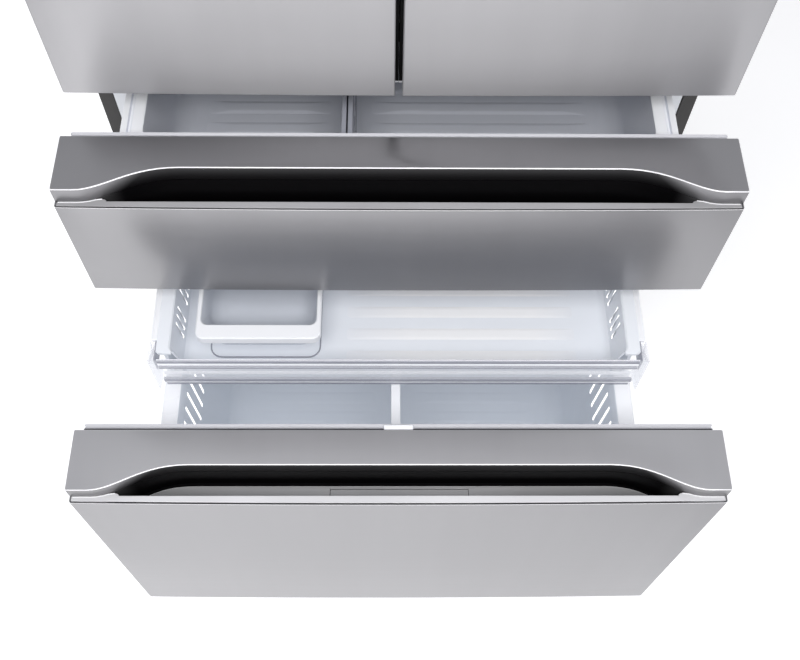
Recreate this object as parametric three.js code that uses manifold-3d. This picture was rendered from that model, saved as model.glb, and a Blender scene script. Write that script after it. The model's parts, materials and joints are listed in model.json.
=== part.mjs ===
// French door refrigerator: two doors over a convertible middle drawer and a bottom freezer drawer.
// Millimetres. +X is to the right of someone facing the doors, -Y is towards them, +Z is up.
// The origin is on the floor, under the middle of the whole object with its drawers as far out as they
// stand here. Every piece is described where it sits with everything shut, and the group of each drawer
// is then moved out to its resting place.
import * as THREE from 'three';
import { mergeVertices } from 'three/addons/utils/BufferGeometryUtils.js';
import Module from 'manifold-3d';

const wasm = await Module();
wasm.setup();

// ---------------------------------------------------------------- driving dimensions

const FRONT_WIDTH = 908;        // doors and drawer fronts
const CASE_WIDTH = 906;         // steel case
const SHUT_DEPTH = 863;         // door face to the back of the case
const CASE_TOP = 1745;          // top of the steel case
const COVER_TOP = 1780;         // top of the hinge covers
const CASE_BOTTOM = 40;         // underside of the case and base pan
const FRONT_DEPTH = 101;        // a door or drawer front, without its gasket
const GASKET_DEPTH = 12;
const GAP = 0.3;                // left between pieces that touch

const FREEZER_OUT = 476;        // how far each drawer stands open
const MIDDLE_OUT = 156;

const DOOR_Z = [884, 1738];
const MIDDLE_PANEL_Z = [633, 839];
const FREEZER_PANEL_Z = [62, 595];
const CAP_HEIGHT = 27;          // the cap of a drawer front stands this far above its front panel
const DOOR_SPLIT = 5;           // half of the gap between the two doors
const SPLIT_X = -2.5;           // middle of that gap; the left door is the narrower one

const CAVITY_HALF = 400;        // half the inside width of all three compartments
const FRESH_CAVITY_Z = [910, 1690];
const MIDDLE_CAVITY_Z = [664, 846];
const FREEZER_CAVITY_Z = [100, 588];
const CAVITY_BACK_Y = 600;
const FREEZER_STEP = { y: 395, z: 320 };   // the freezer is shallower below this height
const MACHINE_SPACE = { y: 430, z: 275 };  // room for the compressor, low at the back

const SHELL = 12;               // case side with its foam skin
const FLANGE = { width: 22, depth: 20 };
const BACK_THICKNESS = 12;
const PAN_THICKNESS = 8;
const SKIN = 3;                 // folded sheet of a door or a drawer front

// Height limits of the foamed liners, which meet face to face.
const FREEZER_LINER_TOP = 626;
const MIDDLE_LINER_TOP = 877;

// Pull recess along the top of a drawer front. The edge of the cap runs back in an S at both ends.
const CAP_SETBACK = 12;         // cap edge behind the panel's face
const RECESS_DEPTH = 36.5;
const RECESS_START_X = 425;
const RECESS_FULL_X = 290;
const RECESS_BEND_X = [385, 358];
const RECESS_FLOOR_DROP = 76;   // floor of the recess below the top of the cap
const POCKET_WALL = 3;
const POCKET_HALF = 402;
const PANEL_LIP = { depth: 13, thickness: 3 };

const HINGE = { x: 442, y: -150, pin: 6, hole: 6.7 };
const HINGE_PIN_REACH = 26;

// ---------------------------------------------------------------- derived places

const BACK_Y = (SHUT_DEPTH + FREEZER_OUT) / 2;
const FACE_Y = BACK_Y - SHUT_DEPTH;
const FRONT_BACK_Y = FACE_Y + FRONT_DEPTH;
const CASE_FRONT_Y = FRONT_BACK_Y + GASKET_DEPTH;
const HALF_FRONT = FRONT_WIDTH / 2;
const HALF_CASE = CASE_WIDTH / 2;
const LINER_HALF = HALF_CASE - SHELL - GAP;
const LINER_FRONT_HALF = HALF_CASE - FLANGE.width - GAP;
const LINER_BACK_Y = BACK_Y - BACK_THICKNESS - GAP;
const SHELL_ROOF = CASE_TOP - SHELL;
const PAN_TOP = CASE_BOTTOM + PAN_THICKNESS;

// ---------------------------------------------------------------- materials

const finish = (color, roughness, metalness, opacity = 1) => new THREE.MeshStandardMaterial({
  color, roughness, metalness, opacity, transparent: opacity < 1,
});
const STEEL = finish(0xb7b6b8, 0.32, 1);
const CASE_PAINT = finish(0x5f6063, 0.5, 0.3);
const LINER_WHITE = finish(0xf1f3f5, 0.45, 0);
const BASKET_WHITE = finish(0xe3eaf2, 0.4, 0);
const CLEAR = finish(0xcdd2dc, 0.12, 0, 0.45);
const POCKET_DARK = finish(0x1b1a1c, 0.35, 0.2);
const GASKET_GREY = finish(0xd4d5d8, 0.7, 0);
const BLACK_PLASTIC = finish(0x222326, 0.5, 0);
const ZINC = finish(0xa9adb2, 0.4, 0.9);
const MACHINE_BLACK = finish(0x17181a, 0.45, 0.4);
const SHELF_GLASS = finish(0xdfe9ee, 0.08, 0, 0.5);
const RUBBER = finish(0x2a2a2b, 0.85, 0);

// ---------------------------------------------------------------- shape helpers

// A box between two corners, given as [low, high] along each axis.
function block(x, y, z) {
  const box = new THREE.BoxGeometry(x[1] - x[0], y[1] - y[0], z[1] - z[0]);
  return box.translate((x[0] + x[1]) / 2, (y[0] + y[1]) / 2, (z[0] + z[1]) / 2);
}

// [low, high] of a span measured outwards from the middle, on the left (-1) or right (+1).
function outward(side, near, far) {
  return side < 0 ? [-far, -near] : [near, far];
}

const across = (half) => [-half, half];

// A solid turned about an upright axis at (x, y). The profile is a list of [radius, z].
function turned(x, y, profile, sides = 20) {
  const points = profile.map(([radius, z]) => new THREE.Vector2(radius, z));
  return new THREE.LatheGeometry(points, sides).rotateX(Math.PI / 2).translate(x, y, 0);
}

// The same, turned about an axis along X through (y, z). The profile is a list of [radius, x].
function turnedAlongX(y, z, profile, sides = 20) {
  const points = profile.map(([radius, x]) => new THREE.Vector2(radius, x));
  return new THREE.LatheGeometry(points, sides).rotateZ(-Math.PI / 2).translate(0, y, z);
}

const rod = (x, y, z, radius, sides) => turned(
  x, y, [[0, z[0]], [radius, z[0]], [radius, z[1]], [0, z[1]]], sides);

function toManifold(geometry) {
  const bare = geometry.index ? geometry.toNonIndexed() : geometry.clone();
  bare.deleteAttribute('normal');
  bare.deleteAttribute('uv');
  const merged = mergeVertices(bare, 1e-4);
  return new wasm.Manifold(new wasm.Mesh({
    numProp: 3,
    vertProperties: new Float32Array(merged.attributes.position.array),
    triVerts: new Uint32Array(merged.index.array),
  }));
}

function fromManifold(manifold) {
  const mesh = manifold.getMesh();
  const geometry = new THREE.BufferGeometry();
  geometry.setAttribute('position', new THREE.BufferAttribute(mesh.vertProperties, 3));
  geometry.setIndex(new THREE.BufferAttribute(mesh.triVerts, 1));
  const flat = geometry.toNonIndexed();
  flat.computeVertexNormals();
  return flat;
}

function cut(geometry, ...tools) {
  const result = tools.reduce((left, tool) => left.subtract(toManifold(tool)), toManifold(geometry));
  return fromManifold(result);
}

function join(geometry, ...others) {
  const result = others.reduce((whole, other) => whole.add(toManifold(other)), toManifold(geometry));
  return fromManifold(result);
}

// An upright prism with rounded corners.
function roundedBlock(x, y, z, radius) {
  const shape = new THREE.Shape();
  const corners = [[x[1], y[0], -90], [x[1], y[1], 0], [x[0], y[1], 90], [x[0], y[0], 180]];
  for (const [cornerX, cornerY, from] of corners) {
    const centreX = cornerX + (cornerX === x[0] ? radius : -radius);
    const centreY = cornerY + (cornerY === y[0] ? radius : -radius);
    const start = THREE.MathUtils.degToRad(from);
    shape.absarc(centreX, centreY, radius, start, start + Math.PI / 2, false);
  }
  const options = { depth: z[1] - z[0], bevelEnabled: false, curveSegments: 3 };
  return new THREE.ExtrudeGeometry(shape, options).translate(0, 0, z[0]);
}

// An open box with rounded corners, a floor and one wall thickness.
function tub(x, y, z, wall, radius) {
  const inner = roundedBlock(
    [x[0] + wall, x[1] - wall], [y[0] + wall, y[1] - wall], [z[0] + wall, z[1] + 1], radius - wall);
  return cut(roundedBlock(x, y, z, radius), inner);
}

// A flat ring standing in the XZ plane.
function ring(x, y, z, width) {
  const hole = block([x[0] + width, x[1] - width], [y[0] - 1, y[1] + 1], [z[0] + width, z[1] - width]);
  return cut(block(x, y, z), hole);
}

// The outline seen from above of everything behind the cap's S-shaped edge, moved back by "back".
function capOutline(half, rearY, back = 0) {
  const edgeY = FACE_Y + CAP_SETBACK + back;
  const innerY = edgeY + RECESS_DEPTH;
  const [outerBend, innerBend] = RECESS_BEND_X;
  const shape = new THREE.Shape();
  shape.moveTo(-half, rearY);
  shape.lineTo(-half, edgeY);
  shape.lineTo(-RECESS_START_X, edgeY);
  shape.bezierCurveTo(-outerBend, edgeY, -innerBend, innerY, -RECESS_FULL_X, innerY);
  shape.lineTo(RECESS_FULL_X, innerY);
  shape.bezierCurveTo(innerBend, innerY, outerBend, edgeY, RECESS_START_X, edgeY);
  shape.lineTo(half, edgeY);
  shape.lineTo(half, rearY);
  return shape;
}

function upright(shape, z, curveSegments = 10) {
  const options = { depth: z[1] - z[0], bevelEnabled: false, curveSegments };
  return new THREE.ExtrudeGeometry(shape, options).translate(0, 0, z[0]);
}

// ---------------------------------------------------------------- scene graph

const refrigerator = new THREE.Group();
const cabinet = new THREE.Group();
const leftDoor = new THREE.Group();
const rightDoor = new THREE.Group();
const middleDrawer = new THREE.Group();
const freezerDrawer = new THREE.Group();
const freezerRails = new THREE.Group();
refrigerator.add(cabinet, leftDoor, rightDoor, middleDrawer, freezerDrawer, freezerRails);

function piece(group, name, geometry, material) {
  const mesh = new THREE.Mesh(geometry, material);
  mesh.name = name;
  group.add(mesh);
  return mesh;
}

const SIDES = [[-1, 'left'], [1, 'right']];

// ---------------------------------------------------------------- cabinet

// One sheet folded over both sides and the top, with a flange turned in at the front.
function caseShell() {
  const outside = block(across(HALF_CASE), [CASE_FRONT_Y, BACK_Y], [CASE_BOTTOM, CASE_TOP]);
  const inside = block(
    across(HALF_CASE - SHELL), [CASE_FRONT_Y + FLANGE.depth, BACK_Y + 1], [CASE_BOTTOM - 1, SHELL_ROOF]);
  const mouth = block(
    across(HALF_CASE - FLANGE.width), [CASE_FRONT_Y - 1, CASE_FRONT_Y + FLANGE.depth + 1],
    [CASE_BOTTOM - 1, CASE_TOP - FLANGE.width]);
  piece(cabinet, 'case_shell', cut(outside, inside, mouth), CASE_PAINT);
}

// The flat back, and below it the slotted cover of the machine space.
function caseBack() {
  const y = [BACK_Y - BACK_THICKNESS, BACK_Y];
  const half = HALF_CASE - SHELL - GAP;
  piece(cabinet, 'case_back', block(across(half), y, [MACHINE_SPACE.z, SHELL_ROOF - GAP]), CASE_PAINT);

  const cover = block(across(half), y, [PAN_TOP + GAP, MACHINE_SPACE.z - GAP]);
  const slots = [];
  for (let column = -3; column <= 3; column += 1) {
    for (let row = 0; row < 3; row += 1) {
      const x = column * 110;
      const z = 100 + row * 50;
      slots.push(block([x - 38, x + 38], [y[0] - 1, y[1] + 1], [z, z + 12]));
    }
  }
  piece(cabinet, 'rear_cover', cut(cover, ...slots), BLACK_PLASTIC);
}

// A foamed liner: it fits behind the case's front flange and holds one compartment, open to the front.
function foamedLiner(z, frontTop, cavities) {
  const front = block(across(LINER_FRONT_HALF), [CASE_FRONT_Y, CASE_FRONT_Y + 30], [z[0], frontTop]);
  const main = block(across(LINER_HALF), [CASE_FRONT_Y + FLANGE.depth + GAP, LINER_BACK_Y], z);
  return cut(join(front, main), ...cavities);
}

const compartment = (z, backY) => block(across(CAVITY_HALF), [CASE_FRONT_Y - 1, backY], z);

// The rail across the front between the doors and the middle drawer, and the seat it leaves.
const CENTER_RAIL = { depth: 8, z: [868, 904] };

function centerRail(clearance) {
  return block(
    across(LINER_FRONT_HALF + clearance),
    [CASE_FRONT_Y - clearance, CASE_FRONT_Y + CENTER_RAIL.depth + clearance],
    [CENTER_RAIL.z[0] - clearance, CENTER_RAIL.z[1] + clearance]);
}

const SHELF = { y: [60, 560], thickness: 14, height: 1420, crisper: 1130 };
const LEDGE = { reach: 8, height: 8 };
const CRISPER = { y: [58, 460], z: [925, 1112], near: 12, far: 338 };
const RUNNER = { width: 15, near: 25, far: 315 };

function shelfLedges() {
  const ledges = [];
  for (const height of [SHELF.height, SHELF.crisper]) {
    for (const [side] of SIDES) {
      const x = outward(side, CAVITY_HALF - LEDGE.reach, CAVITY_HALF + 1);
      ledges.push(block(x, SHELF.y, [height - GAP - LEDGE.height, height - GAP]));
    }
  }
  return ledges;
}

function crisperRunners() {
  const runners = [];
  for (const [side] of SIDES) {
    for (const near of [RUNNER.near, RUNNER.far - RUNNER.width]) {
      const x = outward(side, near, near + RUNNER.width);
      runners.push(block(x, CRISPER.y, [FRESH_CAVITY_Z[0] - 1, CRISPER.z[0] - GAP]));
    }
  }
  return runners;
}

function liners() {
  const flangeTop = CASE_TOP - FLANGE.width - GAP;
  const fresh = foamedLiner(
    [MIDDLE_LINER_TOP + GAP, SHELL_ROOF - GAP], flangeTop,
    [compartment(FRESH_CAVITY_Z, CAVITY_BACK_Y), centerRail(GAP)]);
  piece(cabinet, 'fresh_food_liner', join(fresh, ...shelfLedges(), ...crisperRunners()), LINER_WHITE);

  const middle = foamedLiner(
    [FREEZER_LINER_TOP + GAP, MIDDLE_LINER_TOP], MIDDLE_LINER_TOP,
    [compartment(MIDDLE_CAVITY_Z, CAVITY_BACK_Y), centerRail(GAP)]);
  piece(cabinet, 'middle_liner', join(middle, ...middleFixedRails()), LINER_WHITE);

  const machineSpace = block(
    across(LINER_HALF + 1), [MACHINE_SPACE.y, BACK_Y], [CASE_BOTTOM, MACHINE_SPACE.z]);
  const freezer = foamedLiner(
    [PAN_TOP + GAP, FREEZER_LINER_TOP], FREEZER_LINER_TOP,
    [
      compartment([FREEZER_STEP.z, FREEZER_CAVITY_Z[1]], CAVITY_BACK_Y),
      compartment([FREEZER_CAVITY_Z[0], FREEZER_STEP.z + 1], FREEZER_STEP.y),
      machineSpace,
    ]);
  piece(cabinet, 'freezer_liner', freezer, LINER_WHITE);
  piece(cabinet, 'center_rail', centerRail(0), CASE_PAINT);
}

// The base pan carries the machine and, behind, two forks for the rear rollers.
const ROLLER = { x: 400, y: 610, radius: 20, half: 12, axle: 4, axleHalf: 17 };
const FOOT = { x: 400, y: -20 };
const FAN = { x: 135, y: 545, z: 155, radius: 68 };

function basePan() {
  const pan = block(
    across(LINER_HALF), [CASE_FRONT_Y + FLANGE.depth + GAP, LINER_BACK_Y], [CASE_BOTTOM, PAN_TOP]);
  const additions = [];
  const holes = [];
  for (const [side] of SIDES) {
    for (const offset of [-1, 1]) {
      const centre = side * ROLLER.x + offset * (ROLLER.half + 4);
      additions.push(block(
        [centre - 2.5, centre + 2.5], [ROLLER.y - 14, ROLLER.y + 14], [ROLLER.radius - 9, CASE_BOTTOM + 1]));
    }
    const reach = ROLLER.axleHalf + 5;
    holes.push(turnedAlongX(ROLLER.y, ROLLER.radius, [
      [0, side * ROLLER.x - reach], [ROLLER.axle + 0.5, side * ROLLER.x - reach],
      [ROLLER.axle + 0.5, side * ROLLER.x + reach], [0, side * ROLLER.x + reach]], 16));
  }
  const post = block([FAN.x - 32, FAN.x - 18], [FAN.y - 9, FAN.y + 9], [PAN_TOP - 1, FAN.z]);
  const motor = turnedAlongX(
    FAN.y, FAN.z, [[0, FAN.x - 40], [22, FAN.x - 40], [22, FAN.x - GAP], [0, FAN.x - GAP]]);
  piece(cabinet, 'base_pan', cut(join(pan, ...additions, post, motor), ...holes), ZINC);
}

function machine() {
  const x = -190;
  const y = 545;
  const top = 232;
  const plate = block([x - 105, x + 105], [y - 80, y + 80], [PAN_TOP + GAP, PAN_TOP + 8]);
  const pot = turned(x, y, [
    [0, PAN_TOP + 4], [60, PAN_TOP + 4], [78, PAN_TOP + 30],
    [80, 140], [74, 195], [50, top - 6], [0, top]], 24);
  piece(cabinet, 'compressor', join(plate, pot), MACHINE_BLACK);

  const hub = turnedAlongX(FAN.y, FAN.z, [[0, FAN.x], [17, FAN.x], [17, FAN.x + 22], [0, FAN.x + 26]]);
  const blades = [];
  const bladeCount = 5;
  for (let index = 0; index < bladeCount; index += 1) {
    const blade = new THREE.BoxGeometry(3, 26, FAN.radius - 12);
    blade.rotateZ(THREE.MathUtils.degToRad(55));
    blade.translate(0, 0, 12 + (FAN.radius - 12) / 2);
    blade.rotateX((index * 2 * Math.PI) / bladeCount);
    blade.translate(FAN.x + 13, FAN.y, FAN.z);
    blades.push(blade);
  }
  piece(cabinet, 'condenser_fan', join(hub, ...blades), BLACK_PLASTIC);
}

// What the cabinet stands on, and the slotted grille under the freezer front.
function underside() {
  for (const [side, label] of SIDES) {
    const foot = turned(side * FOOT.x, FOOT.y, [
      [0, 0], [19, 0], [21, 3], [21, 10], [8, 12], [8, CASE_BOTTOM - GAP], [0, CASE_BOTTOM - GAP]]);
    piece(cabinet, `front_foot_${label}`, foot, BLACK_PLASTIC);

    const { half, axle, axleHalf, radius } = ROLLER;
    const x = side * ROLLER.x;
    const roller = turnedAlongX(ROLLER.y, radius, [
      [0, x - axleHalf], [axle, x - axleHalf], [axle, x - half], [radius, x - half],
      [radius, x + half], [axle, x + half], [axle, x + axleHalf], [0, x + axleHalf]], 24);
    piece(cabinet, `rear_roller_${label}`, roller, RUBBER);
  }

  const y = [CASE_FRONT_Y - 10, CASE_FRONT_Y - GAP];
  const slots = [];
  for (let index = -6; index <= 6; index += 1) {
    const x = index * 62;
    slots.push(block([x - 24, x + 24], [y[0] - 1, y[1] + 1], [26, 34]));
  }
  piece(cabinet, 'toe_grille', cut(block(across(444), y, [10, 57]), ...slots), BLACK_PLASTIC);
}

// Each door turns on a pin above and a pin below, on plates fixed to the case.
function hinges() {
  const { x, y, pin } = HINGE;
  for (const [side, label] of SIDES) {
    const plateX = outward(side, 398, HALF_CASE - 4);
    const topPlate = block(plateX, [y - 14, CASE_FRONT_Y + 70], [CASE_TOP + GAP, CASE_TOP + 5]);
    const topPin = rod(side * x, y, [DOOR_Z[1] - HINGE_PIN_REACH, CASE_TOP + 2], pin, 16);
    piece(cabinet, `hinge_top_${label}`, join(topPlate, topPin), ZINC);

    const armZ = [DOOR_Z[0] - 12, DOOR_Z[0] - 6];
    const arm = block(plateX, [y - 14, CASE_FRONT_Y - GAP], armZ);
    const foot = block(plateX, [CASE_FRONT_Y - 4, CASE_FRONT_Y - GAP], [armZ[0] - 3, DOOR_Z[0] + 4]);
    const lowPin = rod(side * x, y, [armZ[0] + 1, DOOR_Z[0] + HINGE_PIN_REACH], pin, 16);
    piece(cabinet, `hinge_lower_${label}`, join(arm, foot, lowPin), ZINC);

    const coverX = outward(side, 330, HALF_CASE);
    const coverY = [y - 24, 30];
    const hollowX = outward(side, 333, HALF_CASE - 3);
    const cover = cut(
      block(coverX, coverY, [CASE_TOP + GAP, COVER_TOP]),
      block(hollowX, [coverY[0] + 3, coverY[1] - 3], [CASE_TOP - 1, COVER_TOP - 3]));
    piece(cabinet, `hinge_cover_${label}`, cover, CASE_PAINT);
  }
}

// Glass shelves, and the cover over the two crispers with the rail between them.
function shelves() {
  const half = CAVITY_HALF - 0.7;
  const slab = (z) => block(across(half), SHELF.y, [z, z + SHELF.thickness]);
  const pane = (z) => block(
    across(half - 16), [SHELF.y[0] + 16, SHELF.y[1] - 16], [z + SHELF.thickness - 4, z + SHELF.thickness + 1]);
  piece(cabinet, 'shelf', cut(slab(SHELF.height), pane(SHELF.height)), SHELF_GLASS);
  const rail = block(across(CRISPER.near - 4), CRISPER.y, [CRISPER.z[0], SHELF.crisper + 1]);
  piece(cabinet, 'crisper_shelf', join(cut(slab(SHELF.crisper), pane(SHELF.crisper)), rail), SHELF_GLASS);
  for (const [side, label] of SIDES) {
    const x = outward(side, CRISPER.near, CRISPER.far);
    piece(cabinet, `crisper_${label}`, tub(x, CRISPER.y, CRISPER.z, 3, 14), CLEAR);
  }
}

// ---------------------------------------------------------------- doors

const DOOR_GASKET = { width: 20, z: [895, 1728] };
const DYKE = { half: [66, 366], thickness: 14, depth: 52, z: [927, 1678] };
const BIN = { z: [1000, 1125], depth: 84 };
const FLAP = { x: [SPLIT_X - 37, SPLIT_X - 2], z: [897, 1726] };

// Edge of a door's gasket next to the split: the left one stops short of the flap.
const GASKET_SPLIT_EDGE = { left: 43 - SPLIT_X, right: 6.5 + SPLIT_X };

function door(group, side, label) {
  const x = outward(side, DOOR_SPLIT + side * SPLIT_X, HALF_FRONT);
  const y = [FACE_Y, FRONT_BACK_Y];
  const pinHoles = [DOOR_Z[0], DOOR_Z[1]].map((z) => rod(
    side * HINGE.x, HINGE.y, [z - HINGE_PIN_REACH - 2, z + HINGE_PIN_REACH + 2], HINGE.hole, 16));

  const hollow = block(
    [x[0] + SKIN, x[1] - SKIN], [y[0] + SKIN, y[1] + 1], [DOOR_Z[0] + SKIN, DOOR_Z[1] - SKIN]);
  piece(group, `${label}_door_skin`, cut(block(x, y, DOOR_Z), hollow, ...pinHoles), STEEL);

  const inset = SKIN + GAP;
  const core = block(
    [x[0] + inset, x[1] - inset], [y[0] + inset, y[1]], [DOOR_Z[0] + inset, DOOR_Z[1] - inset]);
  const dyke = ring(
    outward(side, ...DYKE.half), [FRONT_BACK_Y - 1, FRONT_BACK_Y + DYKE.depth], DYKE.z, DYKE.thickness);
  piece(group, `${label}_door_liner`, cut(join(core, dyke), ...pinHoles), LINER_WHITE);

  const gasketY = [FRONT_BACK_Y + GAP, CASE_FRONT_Y - GAP];
  const gasketX = outward(side, GASKET_SPLIT_EDGE[label], HINGE.x - 2);
  piece(group, `${label}_door_gasket`, ring(gasketX, gasketY, DOOR_GASKET.z, DOOR_GASKET.width), GASKET_GREY);

  const binX = outward(side, DYKE.half[0] + DYKE.thickness + GAP, DYKE.half[1] - DYKE.thickness - GAP);
  const binY = [FRONT_BACK_Y + GAP, FRONT_BACK_Y + BIN.depth];
  piece(group, `${label}_door_bin`, tub(binX, binY, BIN.z, 3, 8), CLEAR);
}

// The narrow flap on the left door that closes the split from behind.
function mullionFlap() {
  const y = [FRONT_BACK_Y + 1, CASE_FRONT_Y - GAP];
  piece(leftDoor, 'mullion_flap', block(FLAP.x, y, FLAP.z), BLACK_PLASTIC);
}

// ---------------------------------------------------------------- drawer fronts

const DRAWER_GASKET = { half: 444, width: 16, low: 12, high: 6 };

// Front panel, cap, pull recess, foamed inner liner and gasket of one drawer.
function drawerFront(group, name, panelZ) {
  const capTop = panelZ[1] + CAP_HEIGHT;
  const floorZ = capTop - RECESS_FLOOR_DROP;
  const y = [FACE_Y, FRONT_BACK_Y];

  const pan = cut(
    block(across(HALF_FRONT), y, panelZ),
    block(across(HALF_FRONT - SKIN), [y[0] + SKIN, y[1] + 1], [panelZ[0] + SKIN, panelZ[1] + 1]));
  const lip = block(
    across(HALF_FRONT - 1), [y[0] + 1, y[0] + PANEL_LIP.depth], [panelZ[1] - PANEL_LIP.thickness, panelZ[1]]);
  piece(group, `${name}_front_panel`, join(pan, lip), STEEL);

  const cap = upright(capOutline(HALF_FRONT, y[1]), [panelZ[1] + GAP, capTop]);
  piece(group, `${name}_front_cap`, cap, STEEL);

  // The recess is a thin wall under the cap's edge with a floor that runs forward to the panel.
  const pocketTop = panelZ[1];
  const frontY = y[0] + SKIN + GAP;
  const pocketRear = y[1] - 10;
  const behindWall = upright(capOutline(HALF_FRONT, pocketRear + 1, POCKET_WALL), [floorZ - 9, pocketTop + 1]);
  const behindEdge = upright(capOutline(HALF_FRONT, pocketRear), [floorZ, pocketTop + 1]);
  const tubBlock = block(across(POCKET_HALF), [frontY, pocketRear], [floorZ - POCKET_WALL, pocketTop]);
  const opening = cut(block(across(POCKET_HALF + 1), [y[0], pocketRear], [floorZ, pocketTop + 1]), behindEdge);
  piece(group, `${name}_handle_pocket`, cut(tubBlock, behindWall, opening), POCKET_DARK);

  const inset = SKIN + GAP;
  const core = block(
    across(HALF_FRONT - inset), [frontY, y[1]], [panelZ[0] + inset, panelZ[1] - PANEL_LIP.thickness - GAP]);
  const room = cut(
    block(across(POCKET_HALF + GAP), [y[0], pocketRear], [floorZ - POCKET_WALL - GAP, pocketTop + 2]),
    upright(capOutline(HALF_FRONT, pocketRear + 1, POCKET_WALL + GAP), [floorZ - 9, pocketTop + 3]));
  piece(group, `${name}_front_liner`, cut(core, room), LINER_WHITE);

  const gasketZ = [panelZ[0] + DRAWER_GASKET.low, capTop - DRAWER_GASKET.high];
  const gasket = ring(
    across(DRAWER_GASKET.half), [FRONT_BACK_Y + GAP, CASE_FRONT_Y - GAP], gasketZ, DRAWER_GASKET.width);
  piece(group, `${name}_gasket`, gasket, GASKET_GREY);
  return { floorZ, frontY };
}

// ---------------------------------------------------------------- baskets and rails

const BASKET_WALL = 3;
const BASKET_RADIUS = 22;

// An open basket with a flange around its top, which hangs on the rails beside it.
function basket(half, rimHalf, y, z, rimThickness) {
  const body = roundedBlock(across(half), y, z, BASKET_RADIUS);
  const rim = block(across(rimHalf), [y[0] + 14, y[1] - 14], [z[1] - rimThickness, z[1]]);
  const inner = roundedBlock(
    across(half - BASKET_WALL), [y[0] + BASKET_WALL, y[1] - BASKET_WALL],
    [z[0] + BASKET_WALL + 1, z[1] + 1], BASKET_RADIUS - BASKET_WALL);
  return cut(join(body, rim), inner);
}

const MIDDLE_BASKET = { half: 358, rim: 386, y: [-79, 400], z: [675, 835], rimThickness: 6, dividerX: -74 };
const LOWER_BASKET = { half: 343, rim: 367, y: [-79, 370], z: [110, 490], rimThickness: 12, dividerX: -4 };
const DIVIDER_HALF = 8;
const RAIL_HEIGHT = 27;
const MIDDLE_RAIL_TOP = MIDDLE_BASKET.z[1] - MIDDLE_BASKET.rimThickness - GAP;
const FREEZER_RAIL_TOP = LOWER_BASKET.z[1] - LOWER_BASKET.rimThickness - GAP;
const FIXED_RAIL_Y = [-60, 380];
const MIDDLE_RAIL_Y = [FRONT_BACK_Y + GAP, 395];
const FREEZER_RAIL_Y = { middle: [-70, 370], moving: [FRONT_BACK_Y + GAP, 346] };

function rail(side, near, far, y, top) {
  return block(outward(side, near, far), y, [top - RAIL_HEIGHT, top]);
}

// The middle drawer runs on channels moulded into its liner.
function middleFixedRails() {
  return SIDES.map(([side]) => rail(side, 372, CAVITY_HALF + 1, FIXED_RAIL_Y, MIDDLE_RAIL_TOP));
}

function basketWithDivider(group, name, size) {
  const body = basket(size.half, size.rim, size.y, size.z, size.rimThickness);
  piece(group, `${name}_basket`, body, BASKET_WHITE);
  const divider = block(
    [size.dividerX - DIVIDER_HALF, size.dividerX + DIVIDER_HALF],
    [size.y[0] + BASKET_WALL + GAP, size.y[1] - BASKET_WALL - GAP],
    [size.z[0] + BASKET_WALL + 1 + GAP, size.z[1] - 6]);
  piece(group, `${name}_divider`, divider, BASKET_WHITE);
}

function middleDrawerParts() {
  drawerFront(middleDrawer, 'middle', MIDDLE_PANEL_Z);
  basketWithDivider(middleDrawer, 'middle', MIDDLE_BASKET);
  for (const [side, label] of SIDES) {
    const moving = rail(side, 359, 371.7, MIDDLE_RAIL_Y, MIDDLE_RAIL_TOP);
    piece(middleDrawer, `middle_rail_${label}`, moving, ZINC);
  }
}

// Three members a side: one on the liner, one that travels half way, and one on the drawer front.
function freezerRailMembers() {
  for (const [side, label] of SIDES) {
    const fixed = rail(side, 370, CAVITY_HALF - GAP, FIXED_RAIL_Y, FREEZER_RAIL_TOP);
    piece(cabinet, `freezer_rail_fixed_${label}`, fixed, ZINC);
    const middle = rail(side, 360.3, 369.7, FREEZER_RAIL_Y.middle, FREEZER_RAIL_TOP);
    piece(freezerRails, `freezer_rail_middle_${label}`, middle, ZINC);
    const moving = rail(side, 351, 360, FREEZER_RAIL_Y.moving, FREEZER_RAIL_TOP);
    piece(freezerDrawer, `freezer_rail_moving_${label}`, moving, ZINC);
  }
}

// ---------------------------------------------------------------- freezer tray

const TRAY = { half: 346, rimHalf: 374, rimThickness: 5, y: [45, 373], z: [495, 583], wall: 3, radius: 12 };

// The tray's front wall is only a low sill. The clear trim closes the rest.
const TRAY_SILL = { half: 330, height: 9 };

const SKIRT = { near: 353, far: 360, inset: 15 };
const TRIM = { half: 376, y: [33, 44.7], z: [513, 583] };
const EAR = { near: 364, depth: 35, outerZ: 479, innerZ: 514 };
const ICE_BIN = { x: [-309, -119], y: [73, 340], top: 580, wall: 5, lip: 22, radius: 14 };

// A solid with one outline of [x, z] points all along Y.
function alongY(points, y) {
  const shape = new THREE.Shape(points.map(([x, z]) => new THREE.Vector2(x, z)));
  const prism = new THREE.ExtrudeGeometry(shape, { depth: y[1] - y[0], bevelEnabled: false });
  return prism.rotateX(Math.PI / 2).translate(0, y[1], 0);
}

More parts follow.
